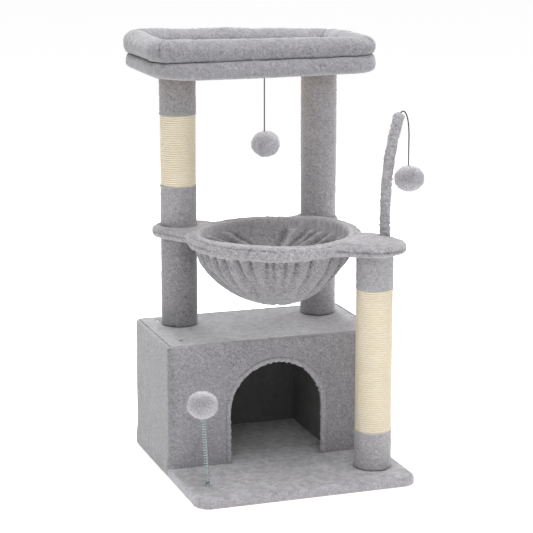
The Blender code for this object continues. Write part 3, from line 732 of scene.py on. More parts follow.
def make_condo():
    """The condo's one sewn cover: seam, doorway, sunk screws, and the marks of the posts."""
    rows = [(out, CONDO_TOP + up) for out, up, _ in SEAM_ROWS]
    rows += quarter(CONDO_INSET - CONDO_SHOULDER, CONDO_TOP - CONDO_SHOULDER, CONDO_SHOULDER, 5,
                    80.0)
    rows += down(CONDO_INSET, CONDO_TOP - CONDO_SHOULDER, BASE_TOP - 0.0005)
    points, quads, first, ring = box_skin(CONDO_CENTRE, CONDO_HALVES, CONDO_CORNER, CONDO_INSET,
                                          CONDO_TOP, rows)
    quads = cut_doorway(points, quads)
    foot = ease(-0.0290, -0.0120, points[:, 1]) * (points[:, 2] < CONDO_FOOT)
    points[:, 2] -= foot * (CONDO_FOOT - points[:, 2]) * 0.53
    spread = 0.0026 / CONDO_HALVES[0] * foot * ease(CONDO_FOOT, 0.022, points[:, 2])
    points[:, :2] *= 1 + spread[:, None]
    thing = build("condo_cover_plush", points, quads, "plush_cover")
    # painted shade in the seam's groove along the roof's edge
    painted_shade = np.zeros(len(points))
    for row, (_, _, depth) in enumerate(SEAM_ROWS):
        painted_shade[first + row * ring:first + (row + 1) * ring] = depth
    x, y, z = points.T
    wall = ease(0.283, 0.270, z) * ease(0.0, 0.02, abs(door_distance(x, z)) + (y > -0.02))
    roof = ease(0.282, 0.284, z)
    loose = layers(points, 5, (0.0009, 0.075), (0.0005, 0.03)) * (0.8 * wall + 0.5 * roof)
    moved = points + get_normals(thing) * loose[:, None]
    # painted shade in a ring round each post's foot on the roof
    for post in ("left", "right"):
        foot = distance_from(points, POSTS[post])
        painted_shade += 0.9 * bump(foot, 0.0375, 0.003) * roof
        moved[:, 2] -= 0.0012 * bump(foot, POST_RADIUS, 0.005) * roof
    # painted shade in each sunk screw's recess
    for centre in SCREWS:
        foot = distance_from(points, centre)
        moved[:, 2] -= 0.0028 * ease(0.0062, 0.0035, foot) * roof
        painted_shade += 1.6 * bump(foot, 0.0040, 0.0024) * roof
    set_points(thing, moved)
    # painted light: the left side darker, the front darker the higher and further right it is, and
    # the top lighter
    front = 0.12 + 0.24 * ease(0.05, 0.20, z) + 0.20 * ease(-0.25, 0.15, x)
    painted_shade += (1.05 * facing(thing, 0, -1) + front * facing(thing, 1, -1)
             - 0.48 * facing(thing, 2, 1))
    nap(thing, 0.0008, 23, 0.75 + 0.15 * wall, painted_shade, 0.80)
    show(thing, "plush_cover", "condo_cover")


def make_shade_lining():
    """Darker plush sheets on the room's back wall and inner sides, and under its roof: painted
    shade inside the room.
    """
    for seed, (name, origin, along, rise) in enumerate(SHADE_LININGS):
        nu, nv = (round(np.linalg.norm(edge) / 0.004) for edge in (along, rise))
        u, v = np.meshgrid(np.linspace(0, 1, nu + 1), np.linspace(0, 1, nv + 1), indexing="ij")
        points = np.array(origin) + u.reshape(-1, 1) * along + v.reshape(-1, 1) * rise
        thing = build(name, points, grid_quads(nu + 1, nv + 1), "lining")
        nap(thing, 0.0005, 60 + seed)
        show(thing, "plush_cover")


def door_path(foot, step):
    """Points and outward ways round the doorway's outline, from one foot to the other."""
    count = round((DOOR_SPRING - foot) / step)
    arc = round(pi * DOOR_HALF / step)
    heights = foot + (DOOR_SPRING - foot) * np.arange(count) / count
    turns = pi * (1 - np.arange(arc + 1) / arc)
    ways = np.concatenate((np.tile((-1.0, 0.0), (count, 1)),
                           np.stack((np.cos(turns), np.sin(turns)), 1),
                           np.tile((1.0, 0.0), (count, 1))))
    centres = np.concatenate((heights, np.full(arc + 1, DOOR_SPRING), heights[::-1]))
    return np.stack((DOOR_HALF * ways[:, 0], centres + DOOR_HALF * ways[:, 1]), 1), ways


def make_binding():
    """The folded plush round the doorway, ragged at its inner edge, and its row of stitches."""
    places, ways = door_path(0.0200, 0.0016)
    out, depth = np.array(BINDING).T
    rows, columns = len(places), len(BINDING)
    flat = places[:, None, :] + ways[:, None, :] * out[None, :, None]
    points = np.stack((flat[..., 0], np.broadcast_to(depth, (rows, columns)), flat[..., 1]),
                      -1).reshape(-1, 3)
    out, way = np.tile(out, rows), np.repeat(ways, columns, axis=0)
    ragged = bump(out, -0.0004, 0.0022)
    shift = ragged * (layers(points, 71, (0.0030, 0.0028), (0.0014, 0.0060)) - 0.0008)
    points[:, 0] -= way[:, 0] * shift
    points[:, 2] -= way[:, 1] * shift
    thing = build("doorway_binding_plush", points, grid_quads(rows, columns), "plush_cover")
    # painted shade in the fold's crease against the front; lighter along the ragged inner edge
    nap(thing, 0.0008, 74, 1.0, 0.9 * bump(out, 0.0104, 0.0009) - 0.9 * ragged)
    show(thing, "plush_cover", "doorway_binding")
    places, ways = door_path(0.0240, STITCH_GAP)
    flat = places + ways * STITCH_OUT
    stitches("doorway_stitches",
             np.column_stack((flat[:, 0], np.full(len(flat), STITCH_DEPTH), flat[:, 1])))


def stitches(name, seats):
    """A row of short stitches lying along the line through their seats."""
    sides, share = 6, np.array((-0.5, -0.42, -0.2, 0.2, 0.42, 0.5))
    thick = np.array((0.15, 0.75, 1.0, 1.0, 0.75, 0.15))
    sink = np.array((0.0009, 0.0004, 0.0, 0.0, 0.0004, 0.0009))
    ways = np.gradient(seats, axis=0)
    ways /= np.linalg.norm(ways, axis=1)[:, None]
    points, quads, caps = [], [], []
    for seat, way in zip(seats, ways):
        path = seat + share[:, None] * STITCH_LENGTH * way
        path[:, 1] += sink
        first = len(points) * sides * len(share)
        points.append(sweep_points(path, STITCH_RADIUS * thick, sides))
        quads.append(grid_quads(len(share), sides, wrap=True, first=first)[:, ::-1])
        caps += end_caps(first, first + sides * (len(share) - 1), sides)
    thing = build(name, np.concatenate(points), np.concatenate(quads), "seam_thread", caps)
    show(thing, "plush_cover")


# ------------------------------------------------------------ posts
SLEEVE_COLUMNS, SEAM_TURN = 100, 1.9
SLEEVES = {                                # each with the painted shade on its plush: positive darker for posts in shade, negative lighter for posts in the open
    "left_lower_plush": 0.45, "left_upper_plush_low": -0.18, "left_upper_plush_high": 0.0,
    "right_lower_plush": -0.55, "right_upper_plush": -0.20, "front_plush_low": -0.58,
    "front_plush_high": -0.50}
SISAL_ABOVE = ("front_plush_low", "left_upper_plush_low")
SISAL_BELOW = ("front_plush_high", "left_upper_plush_high")
STRANDS, ROPE_LAY, ROPE_SIDES, ROPE_STEPS = 3, 0.0135, 9, 132


def make_sleeve(node_name, seed, painted_shade):
    """A post's plush sleeve; where it meets sisal, its end laps a little over the rope."""
    low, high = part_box(node_name)
    radius, centre = (high.x - low.x) / 2 + 0.0002, ((high.x + low.x) / 2, (high.y + low.y) / 2)
    head = [(-0.0026, -0.0006), (-0.0012, 0.0), (-0.0002, -0.0008)]
    foot = [(-0.0006, 0.0004), (-0.0026, 0.0004)]
    if node_name in SISAL_ABOVE:
        head = [(-0.0016, 0.0014), (0.0006, 0.0018), (0.0009, 0.0008)]
    if node_name in SISAL_BELOW:
        foot = [(0.0009, -0.0008), (0.0006, -0.0018), (-0.0016, -0.0014)]
    rows = [(radius + out, high.z + up) for out, up in head]
    rows += down(radius, high.z - 0.0010, low.z + 0.0016)
    rows += [(radius + out, low.z + up) for out, up in foot]
    turn = circle_turns(SLEEVE_COLUMNS)
    out, height = np.array(rows).T[:, :, None]
    points = ring_points(centre, out, turn, height)
    thing = build(node_name + "_pile", points, grid_quads(len(rows), SLEEVE_COLUMNS, wrap=True),
                  "plush_post")
    seam = bump(np.tile(turn, len(rows)), SEAM_TURN, 0.045)
    z = points[:, 2]
    ends = bump(z, high.z, 0.0016) + bump(z, low.z, 0.0016)
    at_ends = -0.6 if node_name in SISAL_ABOVE + SISAL_BELOW else 0.5
    # painted shade along the seam's groove, at ends that meet a board, under the perch from z 0.78
    # up, and on each post as SLEEVES gives; ends that lap over the rope are lighter
    nap(thing, 0.0012, seed, 1.0 - 0.8 * seam,
        0.9 * seam + at_ends * ends + 0.7 * ease(0.780, 0.829, z) + painted_shade)
    show(thing, "plush_post", node_name)


def make_rope(node_name, turns, seed):
    """Three-strand rope wound round a post, touching turn to turn."""
    low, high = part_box(node_name)
    centre = ((high.x + low.x) / 2, (high.y + low.y) / 2)
    thick = (high.z - low.z) / turns / 2
    radius = (high.x - low.x) / 2 - thick - 0.0002
    rounds = np.arange((turns + 1) * ROPE_STEPS + 1) / ROPE_STEPS - 1
    along = rounds * TAU * radius
    height = low.z + thick + 2 * thick * rounds
    phi = pi + circle_turns(ROPE_SIDES)
    twist = (TAU * along / ROPE_LAY)[:, None]
    lobes = np.cos(STRANDS * (phi - twist))
    count = np.arange(len(along))
    taper = np.minimum(ease(-2.0, 12.0, count), ease(-2.0, 12.0, count[::-1]))
    size = thick * (1.02 + 0.15 * lobes) * taper[:, None]
    points = ring_points(centre, radius + size * np.cos(phi), (TAU * rounds + 0.6)[:, None],
                         height[:, None] + size * np.sin(phi))
    points += 0.00016 * np.stack([noise(points, 0.0022, seed + k) for k in range(3)], 1)
    thing = build(node_name + "_winding", points, grid_quads(len(along), ROPE_SIDES, wrap=True),
                  "sisal_rope",
                  [cap[::-1] for cap in end_caps(0, (len(along) - 1) * ROPE_SIDES, ROPE_SIDES)])
    # painted shade: strand crowns lighter, grooves between strands darker, and the side turned to
    # the post darker
    outward = np.clip(np.cos(phi), 0, 1)
    set_value(thing, "pile_tone_and_shade", (0.95 * lobes - 0.45 * (1 - outward) ** 1.5).ravel()
              + 0.25 * noise(points, 0.05, seed + 9))
    set_value(thing, "along", np.repeat(along, ROPE_SIDES))
    set_value(thing, "around", (phi - twist % TAU).ravel())
    show(thing, "sisal_rope", node_name)


def stick_point(height):
    rise = max(0.0, (height - STICK_BEND_FROM) / (STICK_TOP - STICK_BEND_FROM))
    return np.array((*STICK_FOOT, height)) + STICK_LEAN * rise ** 2.5 * STICK_OUT


def make_stick():
    """The bent stick's shaggy sleeve, closed over its tip."""
    heights = list(np.arange(STICK_LOW, STICK_TOP - 0.006, 0.0021))
    radii = [STICK_RADIUS] * len(heights)
    for share in (0.15, 0.4, 0.62, 0.8, 0.93, 1.0):
        heights.append(STICK_TOP - 0.006 + 0.0078 * share)
        radii.append(STICK_RADIUS * sqrt(max(0.0, 1 - share ** 2)) + 0.0008)
    path = np.array([stick_point(height) for height in heights])
    thing = tube("stick_sleeve_pile", path, radii, 30, "plush_hammock")
    points = get_points(thing)
    shaggy = 0.0005 + layers(points, 88, (0.0009, 0.0046), (0.0011, 0.0030))
    points += get_normals(thing) * (shaggy * ease(0.503, 0.506, points[:, 2]))[:, None]
    set_points(thing, points)
    # painted shade at the foot where the sleeve meets the plate; the rest a little lighter
    nap(thing, 0.0022, 90, 1.3, 0.8 * bump(points[:, 2], STICK_LOW, 0.004) - 0.25)
    show(thing, "plush_post", "stick_sleeve", body="stick")


def make_posts():
    for k, (name, painted_shade) in enumerate(SLEEVES.items()):
        make_sleeve(name, 100 + 7 * k, painted_shade)
    make_rope("left_upper_sisal", 33, 200)
    make_rope("front_sisal", 63, 210)
    make_stick()


# ------------------------------------------------------------ hammock
EARS = {"left": (0.056, 0.080, 0.128), "right": (0.043, 0.082, 0.082),
        "front": (0.063, 0.092, 0.092)}   # each ear's radius, and its neck's reach on either side
RING_CENTRE, RING_RADIUS, PLATE_MIDDLE = (0.011, 0.018), 0.185, 0.492
PLATE_HALF, PLATE_INNER, PLATE_FACETS = 0.0110, 0.1630, 120
RIM_COLUMNS, CUFF_ROWS, CUFF_RADIUS = 640, 60, 0.1722
EAR_TURN = -0.767                         # where the front ear lies, seen from the ring
FRONT_TURN = radians(250.6)               # the side of the ring that faces the viewer
CUFF_NICKS = ((-0.60, 0.030, 0.0040, 1.35), (-0.50, 0.022, 0.0026, 1.1),
              (4.08, 0.016, 0.0016, 0.3), (3.05, 0.030, 0.0030, 1.0),
              (0.35, 0.028, 0.0022, 1.9), (1.02, 0.025, 0.0020, 1.9),
              (2.35, 0.028, 0.0024, 1.9))  # turn, width, depth, where on the roll; each nick is also darkened as painted shade
PLEATS = (195, 204, 212, 223, 233, 245, 250, 259, 267, 279, 296)   # in front, in degrees
FOLDS = ((2.75, -2.20, 0.050, 0.0075), (2.42, -2.00, 0.055, 0.0090), (2.04, -1.25, 0.070, 0.0100),
         (0.95, 0.36, 0.070, 0.0100), (0.66, 0.80, 0.050, 0.0060), (0.48, 1.05, 0.055, 0.0085),
         (0.26, 1.13, 0.050, 0.0080), (0.02, 1.30, 0.045, 0.0070))   # turn, drift, width, height
HEM = ((0.0100, 0.02), (0.0058, 0.0), (0.0026, 0.12), (0.0008, 0.35), (0.0, 0.65))   # out, down
BOWL_MOUTH, BOWL_TOP, BOWL_BOTTOM, BOWL_COLUMNS, BOWL_ROWS = 0.166, 0.4825, 0.3500, 500, 96


def ear_reach(angle, name):
    """Distance from the ring's centre to the edge of one tapered ear, in one direction."""
    offset = np.subtract(POSTS[name], RING_CENTRE)
    distance, (radius, *necks) = hypot(*offset), EARS[name]
    turn = remainder(angle - atan2(offset[1], offset[0]), TAU)
    neck = necks[turn > 0]
    turn = abs(turn)
    lean = acos((neck - radius) / distance)
    if turn <= atan2(radius * sin(lean), distance + radius * cos(lean)):
        side = distance * sin(turn)
        return distance * cos(turn) + sqrt(radius ** 2 - side ** 2)
    return neck / cos(turn - lean) if turn < lean else neck


def plate_reach(angle):
    """The plate's edge: the ring and its ears, joined softly."""
    softness = 0.004
    reaches = [RING_RADIUS] + [ear_reach(angle, name) for name in POSTS]
    largest = max(reaches)
    return largest + softness * log(sum(exp((r - largest) / softness) for r in reaches))


def plate_edge(turn):
    """The edge of the plush: round the plate, and never inside the board's straight facets."""
    reach = np.array([plate_reach(t) for t in turn])
    facets = np.array([plate_reach(t) for t in np.linspace(0, TAU, PLATE_FACETS + 1)])
    facet = TAU / PLATE_FACETS
    index = np.minimum((turn / facet).astype(int), PLATE_FACETS - 1)
    before, after = facets[index], facets[index + 1]
    share = turn - index * facet
    chord = before * after * sin(facet) / (before * np.sin(share) + after * np.sin(facet - share))
    return np.maximum(reach, chord) + 0.0010


def make_plate():
    """The plush on the ring and its ears, puffed over the ears, with a seam round the edge."""
    turn = circle_turns(RIM_COLUMNS)
    reach, half, inner = plate_edge(turn), PLATE_HALF, PLATE_INNER
    bends = [pi / 2 * i / 6 for i in range(7)]
    across = reach - 2 * half - inner
    rows = [(-cos(t), 0, sin(t)) for t in bends]
    rows += [(0, share, 1) for share in (np.linspace(0, 1, 40) ** 0.85)[1:-1]]
    rows += [(cos(t), 1, sin(t)) for t in bends[::-1] + [-t for t in bends[1:]]]
    rows += [(0, share, -1) for share in np.linspace(1, 0, 16)[1:]]
    rows += [(-cos(t), 0, -sin(t)) for t in bends[-2:0:-1]]
    bent, share, tall = np.array(rows).T[:, :, None]
    radius, height = inner + half * (1 + bent) + across * share, half * tall
    span = np.clip((radius - inner - half) / np.maximum(across, 0.001), 0, 1)
    front = beside(turn, EAR_TURN, 0.55)
    dome = np.sin(pi * np.clip(span, 0.02, 0.98)) ** 0.5
    puff = np.where(height > 0, 0.0018 + 0.0070 * front, 0.0010 - 0.0046 * front)
    height = height + ease(0.190, 0.225, reach) * puff * dome * np.sign(height)
    points = ring_points(RING_CENTRE, radius, turn, PLATE_MIDDLE + height)
    thing = build("hammock_plate_cover", points,
                  grid_quads(len(rows), RIM_COLUMNS, wrap=True, close=True), "plush_hammock")
    side = bump((radius - reach).ravel(), 0.0, 0.004)
    seam = side * bump((height / half).ravel(), 0.02, 0.16)
    soft = layers(points, 301, (0.0011, 0.028), (0.0006, 0.011))
    points += get_normals(thing) * (np.maximum(soft, -0.0008 + 0.0012 * side) + 0.0008 * side
                                    - 0.0010 * seam)[:, None]
    # painted shade in the seam's groove, in a ring round each post where it presses in, and round
    # the stick's foot
    painted_shade = 1.1 * seam
    for name, post in POSTS.items():
        over = points[:, 2] >= PLATE_MIDDLE
        press = bump(distance_from(points, post), 0.0390, 0.004)
        if name == "front":
            press = press * ~over
        painted_shade += 0.9 * press
        points[:, 2] -= 0.0012 * press * np.where(over, 1.0, -1.0)
    painted_shade += bump(distance_from(points, STICK_FOOT), 0.0103, 0.003) * (points[:, 2] > PLATE_MIDDLE)
    set_points(thing, points)
    nap(thing, 0.0012, 305, 1.0, painted_shade)
    show(thing, "plush_hammock", "hammock_plush")


def behind(turn):
    """0 at the side of the ring that faces the viewer, 1 at the far side."""
    return 0.5 - 0.5 * np.cos(turn - FRONT_TURN)


def cuff_size(turn):
    """Half the width and half the height of the hammock's rolled edge: thinner at the back."""
    back = behind(turn)
    return (0.0158 - 0.0042 * back - 0.0022 * beside(turn, 3.30, 0.35),
            0.0148 - 0.0028 * back - 0.0012 * beside(turn, -1.45, 0.40))


def cuff_level(turn):
    """Height of the rolled edge's middle: it sags at the back and rises on the right."""
    return (0.4932 - 0.0030 * behind(turn) + 0.0042 * beside(turn, 0.15, 0.45)
            + 0.0050 * beside(turn, 0.60, 0.30) - 0.0026 * beside(turn, 2.05, 0.60)
            - 0.0014 * beside(turn, -1.45, 0.40) + 0.0010 * noise(unit_circle(turn), 0.6, 313))


def make_cuff():
    """The hammock's top edge: two rolls of its cloth over the ring, an inner and an outer one."""
    turn = circle_turns(RIM_COLUMNS)
    phi = circle_turns(CUFF_ROWS)[:, None]
    circle = unit_circle(turn)
    fat = 1 + layers(circle, 311, (0.06, 0.32), (0.05, 0.11))
    half_width, half_height = cuff_size(turn)
    bent, tall = np.cos(phi), np.sin(phi)
    wide = 1 + 0.30 * beside(turn, 0.45, 0.30) * (bent > 0)
    points = ring_points(RING_CENTRE, CUFF_RADIUS + half_width * fat * wide * powered(bent, 0.82),
                         turn, cuff_level(turn) + half_height * fat * powered(tall, 0.82))
    thing = build("hammock_cuff", points,
                  grid_quads(CUFF_ROWS, RIM_COLUMNS, wrap=True, close=True), "plush_hammock")
    thing.data.flip_normals()
    aside = 0.5 - 0.5 * np.cos(2 * np.clip(between(turn, FRONT_TURN), -1.57, 1.57))
    line = 0.50 + 0.62 * aside + 0.10 * noise(circle, 0.30, 315)
    strong = 0.40 + 0.60 * aside + 0.35 * noise(circle, 0.45, 317)
    off_line = between(phi, line)
    fold = bump(off_line, 0.0, 0.13) * np.clip(strong, 0.15, 1.0)
    # painted shade in the crease between the two rolls and in the nicks
    painted_shade = 0.9 * fold
    dent = (0.0026 * fold - 0.0012 * bump(off_line, -0.55, 0.40)
            - 0.0009 * bump(off_line, 0.50, 0.35))
    for place, width, depth, height in CUFF_NICKS:
        nick = bump(between(turn, place) - 0.05 * tall, 0.0, width) * bump(phi, height, 0.9)
        dent = dent + depth * nick
        painted_shade = painted_shade + 0.8 * nick
    dimples = layers(points, 318, (0.0011, 0.019), (0.0009, 0.009))
    push(thing, points, dimples - dent.ravel())
    nap(thing, 0.0021, 320, 1.0, painted_shade.ravel())
    show(thing, "plush_hammock")


def pleat_turns():
    """Where the gathers' valleys are: those in front, and more all round the back."""
    rng = np.random.default_rng(77)
    turns, last = list(PLEATS), PLEATS[-1]
    while last < PLEATS[0] + 360 - 16:
        last += rng.uniform(7.5, 13.5)
        turns.append(last)
    return np.radians(turns)


def bowl_profile():
    """How far down, how wide, how high and which way out the bowl is, at even steps of cloth."""
    fall = np.linspace(0, 1, 2000)
    radius = (BOWL_MOUTH * np.clip(1 - fall ** 1.53, 0, 1) ** 0.48
              + 0.0045 * (1 - ease(0.0, 0.12, fall)) + 0.0040 * bump(fall, 0.28, 0.28))
    height = BOWL_TOP + (BOWL_BOTTOM - BOWL_TOP) * fall
    length = np.concatenate(((0,), np.cumsum(np.hypot(np.diff(radius), np.diff(height)))))
    marks = np.linspace(0, length[-1] * 0.992, BOWL_ROWS)
    fall, radius, height = (np.interp(marks, length, row) for row in (fall, radius, height))
    slope = np.stack((np.gradient(radius), np.gradient(height)))
    rise, out = slope / np.linalg.norm(slope, axis=0) * ((1,), (-1,))
    return (row[:, None] for row in (fall, radius, height, out, rise))


def gathers(turn, fall):
    """The pleats outside: how deep they are, and the painted shade in their valleys."""
    rng = np.random.default_rng(78)
    depth, valley_shade = 0.0, 0.0
    for place in pleat_turns():
        deep, long = rng.uniform(0.0060, 0.0105), rng.uniform(0.85, 1.30)
        drift, spread = rng.normal(0, 0.10), rng.uniform(0.75, 1.2)
        deep *= 0.75 + 0.25 * cos(place - FRONT_TURN)
        off = between(turn, place + drift * fall)
        width = (0.020 + 0.110 * fall) * spread
        fade = 1 - ease(long * 0.35, long, fall)
        depth = depth + deep * bump(off, 0.0, width) * fade
        valley_shade = valley_shade + bump(off, 0.0, width * 0.6) * fade * (1 - 0.55 * ease(0.03, 0.4, fall))
    return depth, valley_shade


def inner_folds(turn, fall):
    """The slanting folds inside: how high they stand, and their painted shade beside each fold,
    with a painted highlight on its crest.
    """
    folds, shade = 0.0, 0.0
    lasting = (1 - ease(0.30, 0.85, fall)) * ease(-0.02, 0.10, fall)
    for place, drift, width, tall in FOLDS:
        off = between(turn, place + drift * fall) * (1.0 if place < 1.6 else -1.0)
        folds = folds + 1.3 * tall * bump(off, 0.0, width * (1 + 0.8 * fall)) * lasting
        shade = shade + (1.5 * bump(off, 1.5 * width, 0.8 * width)
                         - 0.6 * bump(off, -0.2 * width, 0.6 * width)) * lasting
    return folds, shade


def make_bowl():
    """The hanging cloth: gathered under the ring, smooth at the bottom, its inside falling from
    the top of the ring's inner edge."""
    fall, radius, height, out, rise = bowl_profile()
    turn = circle_turns(BOWL_COLUMNS)
    depth, valley_shade = gathers(turn, fall)
    folds, shade = inner_folds(turn, fall)
    sway = 0.0012 * noise(unit_circle(turn), 0.35, 336) * ease(0.05, 0.5, fall)
    radius = radius * (1 - 0.022 * np.cos(turn + 0.34) * bump(fall, 0.45, 0.30))
    aside = np.repeat(0.0030 * ease(0.55, 1.0, fall), BOWL_COLUMNS)

    half_width, half_height = cuff_size(turn)
    lip = CUFF_RADIUS - half_width - 0.0016
    crest = cuff_level(turn) + half_height
    outside = ring_points(RING_CENTRE, radius - out * depth + sway, turn, height - rise * depth)
    inward = 0.0030 + depth + folds * (0.35 + 0.65 * ease(0.0, 0.10, fall))
    edge, blur = lip - 0.55 * folds, 0.0020
    inside_radius = sway - blur * np.log(np.exp(-edge / blur)
                                         + np.exp(-(radius - out * inward) / blur))
    inside = ring_points(RING_CENTRE, inside_radius, turn, height - rise * inward)
    for layer in (outside, inside):
        layer[:, 0] += aside
    hem = [ring_points(RING_CENTRE, lip + over - 0.55 * folds[0] * low, turn,
                       crest + 0.0010 - 0.016 * low) for over, low in HEM]
    rows = BOWL_ROWS
    inside = np.concatenate(hem + [inside]).reshape(-1, BOWL_COLUMNS, 3)[::-1].reshape(-1, 3)
    quads = grid_quads(2 * rows + len(HEM), BOWL_COLUMNS, wrap=True, close=True)
    open_middle = (quads[:, 0] // BOWL_COLUMNS) == rows - 1
    thing = build("hammock_bowl_cloth", np.concatenate((outside, inside)), quads[~open_middle],
                  "plush_hammock",
                  end_caps((rows - 1) * BOWL_COLUMNS, rows * BOWL_COLUMNS, BOWL_COLUMNS))
    inner_shade = np.concatenate((np.zeros((len(HEM), BOWL_COLUMNS)), shade))[::-1]
    # painted shade: the outside darker, its pleats' valleys darker still; the inside lighter, with
    # its folds' painted shade and highlights
    nap(thing, 0.0006, 340, 1.0,
        np.concatenate(((0.8 * valley_shade + 0.50).ravel(), inner_shade.ravel() - 0.35)))
    show(thing, "plush_hammock", "hammock_bowl")


# ------------------------------------------------------------ perch
PERCH_CENTRE, PERCH_LOW, PERCH_SEAM = (0.008, 0.168), 0.8294, 0.8655
COVER_HALVES, COVER_CORNER, COVER_INSET, COVER_STEPS = (0.2515, 0.1425), 0.062, 0.0125, 26
ROLL_HALVES, ROLL_CORNER, ROLL_SIDES, ROLL_MIDDLE = (0.2265, 0.1150), 0.0350, 34, 0.8878
ROLL_WIDE, ROLL_TALL = 0.0295, 0.0207       # half its width and half its height, before it swells
SWELL_PRESSURE, SWELL_MOST = 8.0, 0.0035
CLOTH_FRAMES = 20


def make_perch_cover():
    """The perch's lower roll and its bed, with the cloth's turned edge underneath."""
    middle, half = (PERCH_SEAM + PERCH_LOW) / 2, (PERCH_SEAM - PERCH_LOW) / 2
    rows = []
    for t in (pi / 2 - pi * i / COVER_STEPS for i in range(1, COVER_STEPS + 1)):
        bent = abs(cos(t))
        out = COVER_INSET * bent ** 0.45 if t > 0 else COVER_INSET - 0.022 * (1 - bent ** 0.9)
        rows.append((out, middle + half * powered(sin(t), 0.80)))
    rows += [(-0.0095 - 0.0024 * i, PERCH_LOW + 0.0001 * i) for i in range(1, 10)]
    rows.append((-0.0325, PERCH_LOW + 0.0020))
    points, quads, _, _ = box_skin(PERCH_CENTRE, COVER_HALVES, COVER_CORNER, COVER_INSET,
                                   PERCH_SEAM, rows)
    x, y, z = (*(points[:, :2] - PERCH_CENTRE).T, points[:, 2])      # z follows the lifts below
    bed = ease(0.210, 0.120, abs(x)) * ease(0.100, 0.035, abs(y)) * ease(0.855, 0.865, z)
    points[:, 2] += bed * (0.0085 + 0.0015 * noise(points, 0.07, 401))
    thing = build("perch_cover_plush", points, quads, "plush_perch")
    low_side = ease(0.860, 0.832, z)
    points[:, 2] += low_side * (0.0045 * ease(-0.15, -0.25, x) - 0.0014 * bump(x, -0.03, 0.14))
    rim = np.clip(ease(0.205, 0.225, abs(x)) + ease(0.100, 0.120, abs(y)), 0, 1)
    points[:, 2] += 0.0009 * rim * ease(0.860, 0.8650, z)
    soft = 0.8 * layers(points, 402, (0.0018, 0.060), (0.0010, 0.024)) * ease(0.829, 0.840, z)
    push(thing, points, soft)
    # painted shade at the seam on the ends, and on faces turned to the front
    painted_shade = 0.3 * bump(z, 0.8650, 0.0025) * ease(0.205, 0.220, abs(x))
    nap(thing, 0.0013, 405, 1.0 - 0.5 * ease(0.8330, 0.8296, z),
        painted_shade + 0.20 * facing(thing, 1, -1))
    show(thing, "plush_perch", "perch_cover")


def roll_path():
    """The bolster's way round: a rounded rectangle's points, and the outward way at each."""
    straight_x, straight_y = (half - ROLL_CORNER for half in ROLL_HALVES)
    corners = np.array(((straight_x, -straight_y), (straight_x, straight_y),
                        (-straight_x, straight_y), (-straight_x, -straight_y)))
    path, ways, step, arc = [], [], 0.0048, 20
    for k, corner in enumerate(corners):
        start = radians(90 * (k - 1))
        way = np.array((round(cos(start)), round(sin(start))))
        count = max(1, round(dist(corner, corners[k - 1]) / step))
        for i in range(count):
            path.append(corners[k - 1] + (corner - corners[k - 1]) * i / count + ROLL_CORNER * way)
            ways.append(way)
        for i in range(arc):
            turn = start + pi / 2 * i / arc
            ways.append(np.array((cos(turn), sin(turn))))
            path.append(corner + ROLL_CORNER * ways[-1])
    return np.array(path), np.array(ways)


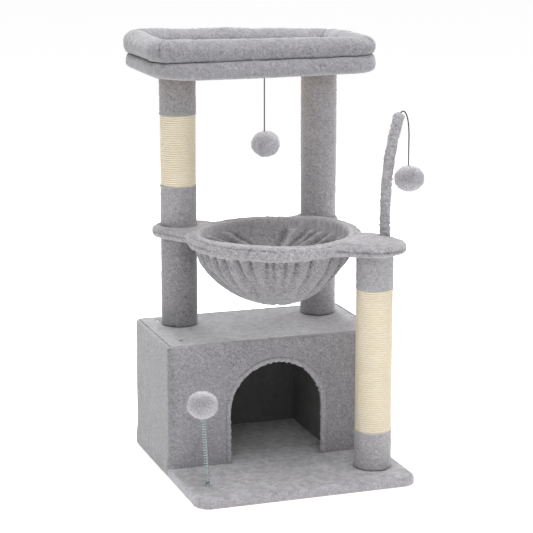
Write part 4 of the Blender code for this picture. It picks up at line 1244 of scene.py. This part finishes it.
def make_bolster():
    """The stuffed roll round the perch: swelled as cloth, then its mitred corners drawn in."""
    path, ways = roll_path()
    phi = circle_turns(ROLL_SIDES)[:, None]
    bent, tall = np.cos(phi), np.sin(phi)
    out = -ROLL_WIDE * powered(bent, np.where(tall < 0, 0.45, 0.92))
    rise = ROLL_TALL * powered(tall, np.where(tall < 0, 0.80, 0.92))
    flat = path + ways * out[:, :, None]
    height = np.broadcast_to(ROLL_MIDDLE + rise, flat.shape[:2])
    points = np.concatenate((flat, height[:, :, None]), 2).reshape(-1, 3)
    across, back = (points[:, :2] / ROLL_HALVES).T
    lift = -0.0036 * across - 0.0036 * ease(0.2, 1.0, back) * np.clip(across, -0.7, 1.0)
    lift += 0.0016 * noise(points * (1, 1, 0), 0.11, 409)
    points[:, 2] += lift * ease(0.868, 0.906, points[:, 2])
    points[:, :2] += PERCH_CENTRE
    thing = build("perch_bolster_roll", points,
                  grid_quads(ROLL_SIDES, len(path), wrap=True, close=True), "plush_perch")
    swell(thing, SWELL_PRESSURE, SWELL_MOST)
    grow(thing, 1)
    points = get_points(thing)
    x, y, z = (points - (*PERCH_CENTRE, 0)).T
    from_corner = (abs(x) - ROLL_HALVES[0]) - (abs(y) - ROLL_HALVES[1])
    seam = bump(from_corner, 0.004 * noise(points, 0.05, 411), 0.0035) * ease(0.872, 0.885, z)
    soft = layers(points, 412, (0.0018, 0.055), (0.0009, 0.021))
    points += get_normals(thing) * (soft - 0.0024 * seam)[:, None]
    points[:, 2] = np.maximum(points[:, 2], PERCH_SEAM)
    set_points(thing, points)
    # painted light: faces turned to the front darker on the front roll and lighter on the back one;
    # painted shade in the mitred seams and along the bottom where the roll sits
    near = 1.65 * ease(0.0, -0.08, points[:, 1] - PERCH_CENTRE[1]) - 0.65
    nap(thing, 0.0014, 415, 1.0, 0.8 * seam + 0.1 * ease(0.8690, 0.8662, z)
        + 0.45 * near * facing(thing, 1, -1))
    show(thing, "plush_perch", "perch_bolster")


def swell(thing, pressure, most):
    """Blows a closed mesh up as cloth, moving no point further than most."""
    scene, rest = bpy.context.scene, get_points(thing)
    cloth = thing.modifiers.new("cloth", "CLOTH")
    for key, value in dict(quality=6, mass=0.2, tension_stiffness=12.0, bending_stiffness=0.6,
                           compression_stiffness=12.0, use_pressure=True,
                           uniform_pressure_force=pressure).items():
        setattr(cloth.settings, key, value)
    cloth.settings.effector_weights.gravity = 0.0
    cloth.point_cache.frame_start = 1
    cloth.point_cache.frame_end = CLOTH_FRAMES
    for frame_number in range(1, CLOTH_FRAMES + 1):
        scene.frame_set(frame_number)
    swelled = thing.evaluated_get(bpy.context.evaluated_depsgraph_get())
    move = vectors(swelled.to_mesh().vertices, "co") - rest
    swelled.to_mesh_clear()
    far = np.linalg.norm(move, axis=1)[:, None]
    move *= np.minimum(1.0, most / np.maximum(far, 1e-9))
    thing.modifiers.remove(cloth)
    scene.frame_set(1)
    set_points(thing, rest + move)


def grow(thing, levels):
    """Subdivides a mesh for good."""
    modifier = thing.modifiers.new("finer", "SUBSURF")
    modifier.levels = levels
    modifier.render_levels = levels
    graph = bpy.context.evaluated_depsgraph_get()
    finer = bpy.data.meshes.new_from_object(thing.evaluated_get(graph))
    thing.modifiers.remove(modifier)
    thing.data = finer


# ------------------------------------------------------------ the carried-over CAD nodes
def finish_cad_nodes():
    """Gives the nodes that stay visible, and those that don't, the materials made here."""
    for row in frame["record"]["subparts"]:
        thing = frame["nodes"][row["node"]]
        thing.material_slots[0].material = MATERIALS[row["material_slot"]]


for make in (make_camera, make_toys, make_studio, make_spring, make_base, make_condo, make_shade_lining,
             make_binding, make_posts, make_plate, make_cuff, make_bowl, make_perch_cover,
             make_bolster, finish_cad_nodes):
    make()
